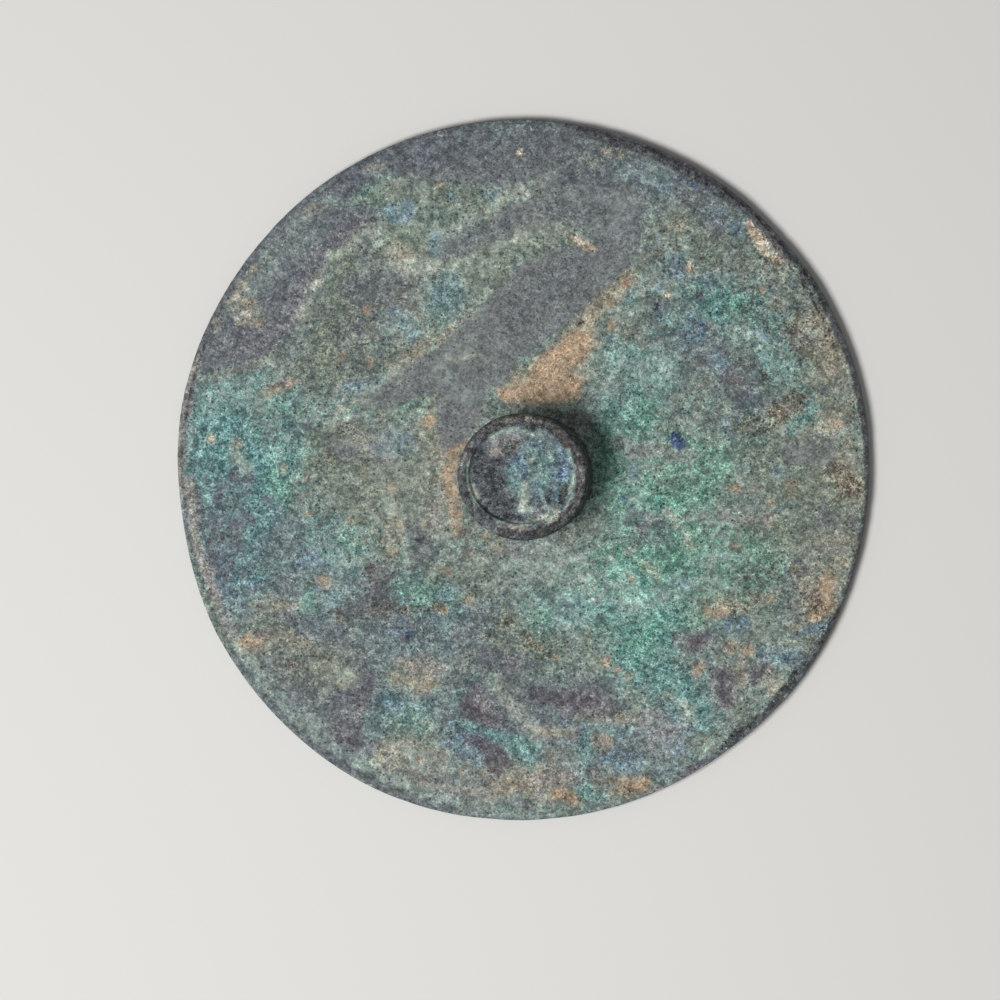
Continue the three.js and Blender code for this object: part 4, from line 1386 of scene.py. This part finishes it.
@dataclass(frozen=True)
class Patina:
    """The corroded skin: grains of many pigments that compete over a grey-green ground."""

    tones: tuple[tuple[Pigment, Tone], ...] = (
        (P.OLIVE, Tone((78, 90, 82), (134, 143, 126), 1.0, 9.0, 0.15)),
        (P.TEAL, Tone((58, 100, 100), (124, 164, 158), 1.0, 9.0)),
        (P.EMERALD, Tone((66, 116, 100), (130, 176, 156), 1.1, 9.0)),
        (P.AZURE, Tone((64, 88, 104), (124, 150, 164), 1.2, 9.0)),
        (P.TAN, Tone((120, 112, 98), (176, 166, 146), 1.2, 9.0, 0.2)),
        (P.ORANGE, Tone((142, 118, 94), (192, 164, 134), 1.6, 8.0, 0.45)),
        (P.BARE, Tone((92, 97, 98), (120, 125, 124), 2.4, 6.0, 0.4)),
        (P.DARK, Tone((70, 75, 82), (108, 114, 119), 1.4, 9.0, 0.35)),
        (P.VIOLET, Tone((56, 53, 60), (100, 98, 104), 2.4, 6.0, 0.35)),
        (P.PALE, Tone((122, 146, 140), (184, 198, 188), 1.2, 9.0, 0.15)),
        (P.CREAM, Tone((150, 130, 104), (228, 220, 202), 3.0, 5.0, 0.2)),
        (P.INDIGO, Tone((44, 60, 96), (84, 106, 144), 4.0, 4.0)),
        (P.BROWN, Tone((66, 58, 50), (128, 112, 94), 1.4, 9.0)),
        (P.LILAC, Tone((104, 100, 104), (162, 156, 154), 1.2, 9.0, 0.2)),
        (P.SOOT, Tone((20, 20, 22), (58, 58, 60), 3.0, 5.0)),
    )
    stir_length: float = 3.0
    cell_length: float = 0.27
    cell_stir: float = 0.36
    clump_length: float = 0.75
    clump_stir: float = 0.18
    grain_length: float = 4.0
    grain_contrast: float = 4.4
    cell_contrast: float = 1.15
    clump_contrast: float = 0.45
    pit_length: float = 0.62
    pit_share: float = 0.13
    pit_contrast: float = 1.3
    bump_depth: float = 0.20

    def material(self) -> bpy.types.Material:
        """Builds the finish.

        Each pigment has a weight: its amount, times its hiding power, times e to the power of a cloudy
        noise and of values that each small grain and each clump of grains have for themselves. The
        colour is the weighted mean of the pigments, each of which goes from its deep to its light
        colour by another noise. That is multiplied by e to the power of a noise that has the same
        strength at every scale, which is also the height of the bump, and of the grains' own values,
        and it is darker in the pits. Bare metal has less of all that.

        Returns:
            The material.
        """
        sheet = Sheet("patina_crust")
        place = sheet.add("ShaderNodeTexCoord").outputs["Object"]
        layers = {
            name: sheet.split(sheet.add("ShaderNodeAttribute", attribute_name=name).outputs["Color"])
            for name in sorted({pigment.layer for pigment in Pigment})
        }
        places = [place] + [
            sheet.add("ShaderNodeMapping", {"Vector": place, "Location": shift}).outputs[0]
            for shift in ((0.31, 0.17, 0.23), (0.57, 0.71, 0.43))
        ]
        cells = sheet.split(sheet.cells(place, self.cell_length).outputs["Color"])
        clumps = sheet.split(sheet.cells(places[1], self.clump_length).outputs["Color"])
        clouds = [sheet.split(sheet.noise(p, self.stir_length, 5.0, 0.9).outputs["Color"]) for p in places]
        stirs = []
        for index, cloud in enumerate(itertools.chain(*clouds)):
            stir = sheet.math("MULTIPLY_ADD", cells[index % 3], self.cell_stir, cloud)
            stirs.append(sheet.math("MULTIPLY_ADD", clumps[index // 3], self.clump_stir, stir))
        middle = 0.5 * (1.0 + self.cell_stir + self.clump_stir)
        shade = sheet.rise(sheet.noise(place, 1.3, 3.0, 0.8).outputs[0], 0.34, 0.66)
        grain = sheet.noise(places[1], self.grain_length, 6.0, 1.0).outputs[0]
        total, weights, calms = None, None, None
        for pigment, tone in self.tones:
            stray = tone.stray if pigment.value < len(stirs) else -tone.stray
            stir = stirs[pigment.value % len(stirs)]
            factor = sheet.math("EXPONENT", sheet.math("MULTIPLY_ADD", stir, stray, -middle * stray))
            amount = sheet.math("MULTIPLY", layers[pigment.layer][pigment.channel], tone.hide)
            weight = sheet.math("MULTIPLY", amount, factor)
            laid = sheet.scaled(sheet.mix(shade, linear(tone.deep), linear(tone.light)), weight)
            total = sheet.added(total, laid) if total else laid
            weights = sheet.math("ADD", weights, weight) if weights else weight
            if tone.calm:
                calms = sheet.math("MULTIPLY_ADD", weight, tone.calm, calms or 0.0)
        colour = sheet.scaled(total, sheet.math("DIVIDE", 1.0, weights))
        unrest = sheet.math("SUBTRACT", 1.0, sheet.math("DIVIDE", calms, weights))
        pits = sheet.cells(places[2], self.pit_length)
        chosen = sheet.math("LESS_THAN", sheet.split(pits.outputs["Color"])[0], self.pit_share)
        pit = sheet.math("MULTIPLY", chosen, sheet.rise(pits.outputs["Distance"], 0.5, 0.2))
        swing = sheet.math("MULTIPLY_ADD", grain, self.grain_contrast, -0.5 * self.grain_contrast)
        swing = sheet.math("MULTIPLY_ADD", cells[0], self.cell_contrast, swing)
        swing = sheet.math("MULTIPLY_ADD", clumps[0], self.clump_contrast, swing)
        swing = sheet.math("SUBTRACT", swing, 0.5 * (self.cell_contrast + self.clump_contrast))
        swing = sheet.math("MULTIPLY_ADD", pit, -self.pit_contrast, swing)
        contrast = sheet.math("EXPONENT", sheet.math("MULTIPLY", swing, unrest))
        speckled = sheet.scaled(colour, contrast)
        rough = sheet.math("MULTIPLY_ADD", unrest, 0.5, 0.35)
        shader = sheet.add("ShaderNodeBsdfPrincipled", {"Base Color": speckled, "Roughness": rough})
        shader.inputs["Specular IOR Level"].default_value = 0.3
        height = sheet.math("MULTIPLY", grain, unrest)
        bump = sheet.add("ShaderNodeBump", {"Height": height, "Strength": 1.0, "Distance": self.bump_depth * MM})
        sheet.tree.links.new(bump.outputs[0], shader.inputs["Normal"])
        output = sheet.add("ShaderNodeOutputMaterial")
        sheet.tree.links.new(shader.outputs[0], output.inputs["Surface"])
        return sheet.material


@dataclass(frozen=True)
class Lamp:
    """A soft square lamp that points at the mirror."""

    name: str
    away: float
    azimuth: float
    elevation: float
    side: float
    power: float

    def place(self) -> None:
        """Sets the lamp in the scene: azimuth is anticlockwise from +X, elevation above the floor."""
        turn, lift = np.radians(self.azimuth), np.radians(self.elevation)
        heading = Vector((np.cos(turn) * np.cos(lift), np.sin(turn) * np.cos(lift), np.sin(lift)))
        light = bpy.data.lights.new(self.name, "AREA")
        light.shape = "SQUARE"
        light.size = self.side
        light.energy = self.power
        lamp = bpy.data.objects.new(self.name, light)
        lamp.location = heading * self.away
        lamp.rotation_euler = heading.to_track_quat("Z", "Y").to_euler()
        bpy.context.scene.collection.objects.link(lamp)


@dataclass(frozen=True)
class Studio:
    """A plain pale floor, soft lamps, and a camera that looks down on the mirror."""

    floor_side: float = 6.0
    floor_colour: Colour = (214, 213, 210)
    world_strength: float = 0.235
    lamps: tuple[Lamp, ...] = (Lamp("key", 1.0, 212.0, 66.0, 0.38, 9.1),)
    tilt: float = 8.6
    tilt_azimuth: float = 13.5
    distance: float = 1.40
    lens: float = 252.2
    aim: tuple[float, float] = (-4.4, -5.92)

    def build(self) -> None:
        """Lays the floor, hangs the lamps and sets up the world's even light."""
        half = self.floor_side / 2
        mesh = bpy.data.meshes.new("studio_floor")
        mesh.from_pydata([(-half, -half, 0), (half, -half, 0), (half, half, 0), (-half, half, 0)], [], [(0, 1, 2, 3)])
        floor = bpy.data.objects.new("studio_floor", mesh)
        bpy.context.scene.collection.objects.link(floor)
        sheet = Sheet("studio_floor")
        shader = sheet.add("ShaderNodeBsdfPrincipled", {"Base Color": linear(self.floor_colour), "Roughness": 0.9})
        output = sheet.add("ShaderNodeOutputMaterial")
        sheet.tree.links.new(shader.outputs[0], output.inputs["Surface"])
        mesh.materials.append(sheet.material)
        for lamp in self.lamps:
            lamp.place()
        world = bpy.data.worlds.new("studio")
        world.use_nodes = True
        world.node_tree.nodes["Background"].inputs["Strength"].default_value = self.world_strength
        world.node_tree.nodes["Background"].inputs["Color"].default_value = (1.0, 1.0, 1.0, 1.0)
        bpy.context.scene.world = world
        bpy.context.scene.view_settings.view_transform = "Standard"

    def camera(self) -> None:
        """Sets the camera above the mirror, tilted a little towards +X, with +Y up in the image."""
        tilt, turn = np.radians(self.tilt), np.radians(self.tilt_azimuth)
        back = Vector((np.sin(tilt) * np.cos(turn), np.sin(tilt) * np.sin(turn), np.cos(tilt)))
        right = Vector((0.0, 1.0, 0.0)).cross(back).normalized()
        up = back.cross(right)
        data = bpy.data.cameras.new("camera")
        data.lens = self.lens
        camera = bpy.data.objects.new("camera", data)
        target = Vector((self.aim[0] * MM, self.aim[1] * MM, 0.0))
        turned = Matrix((right, up, back)).transposed().to_4x4()
        camera.matrix_world = Matrix.Translation(target + back * self.distance) @ turned
        bpy.context.scene.collection.objects.link(camera)
        bpy.context.scene.camera = camera


def main() -> None:
    logging.basicConfig(level=logging.INFO, format="%(name)s: %(message)s")
    mirror = Mirror()
    piece = mirror.build()
    mirror.dress(piece)
    LOG.info("%s: %d points, %d triangles", piece.name, len(piece.data.vertices), len(piece.data.polygons))
    studio = Studio()
    studio.build()
    studio.camera()
    LOG.info("studio: %d lamps", len(studio.lamps))


if __name__ == "__main__":
    main()
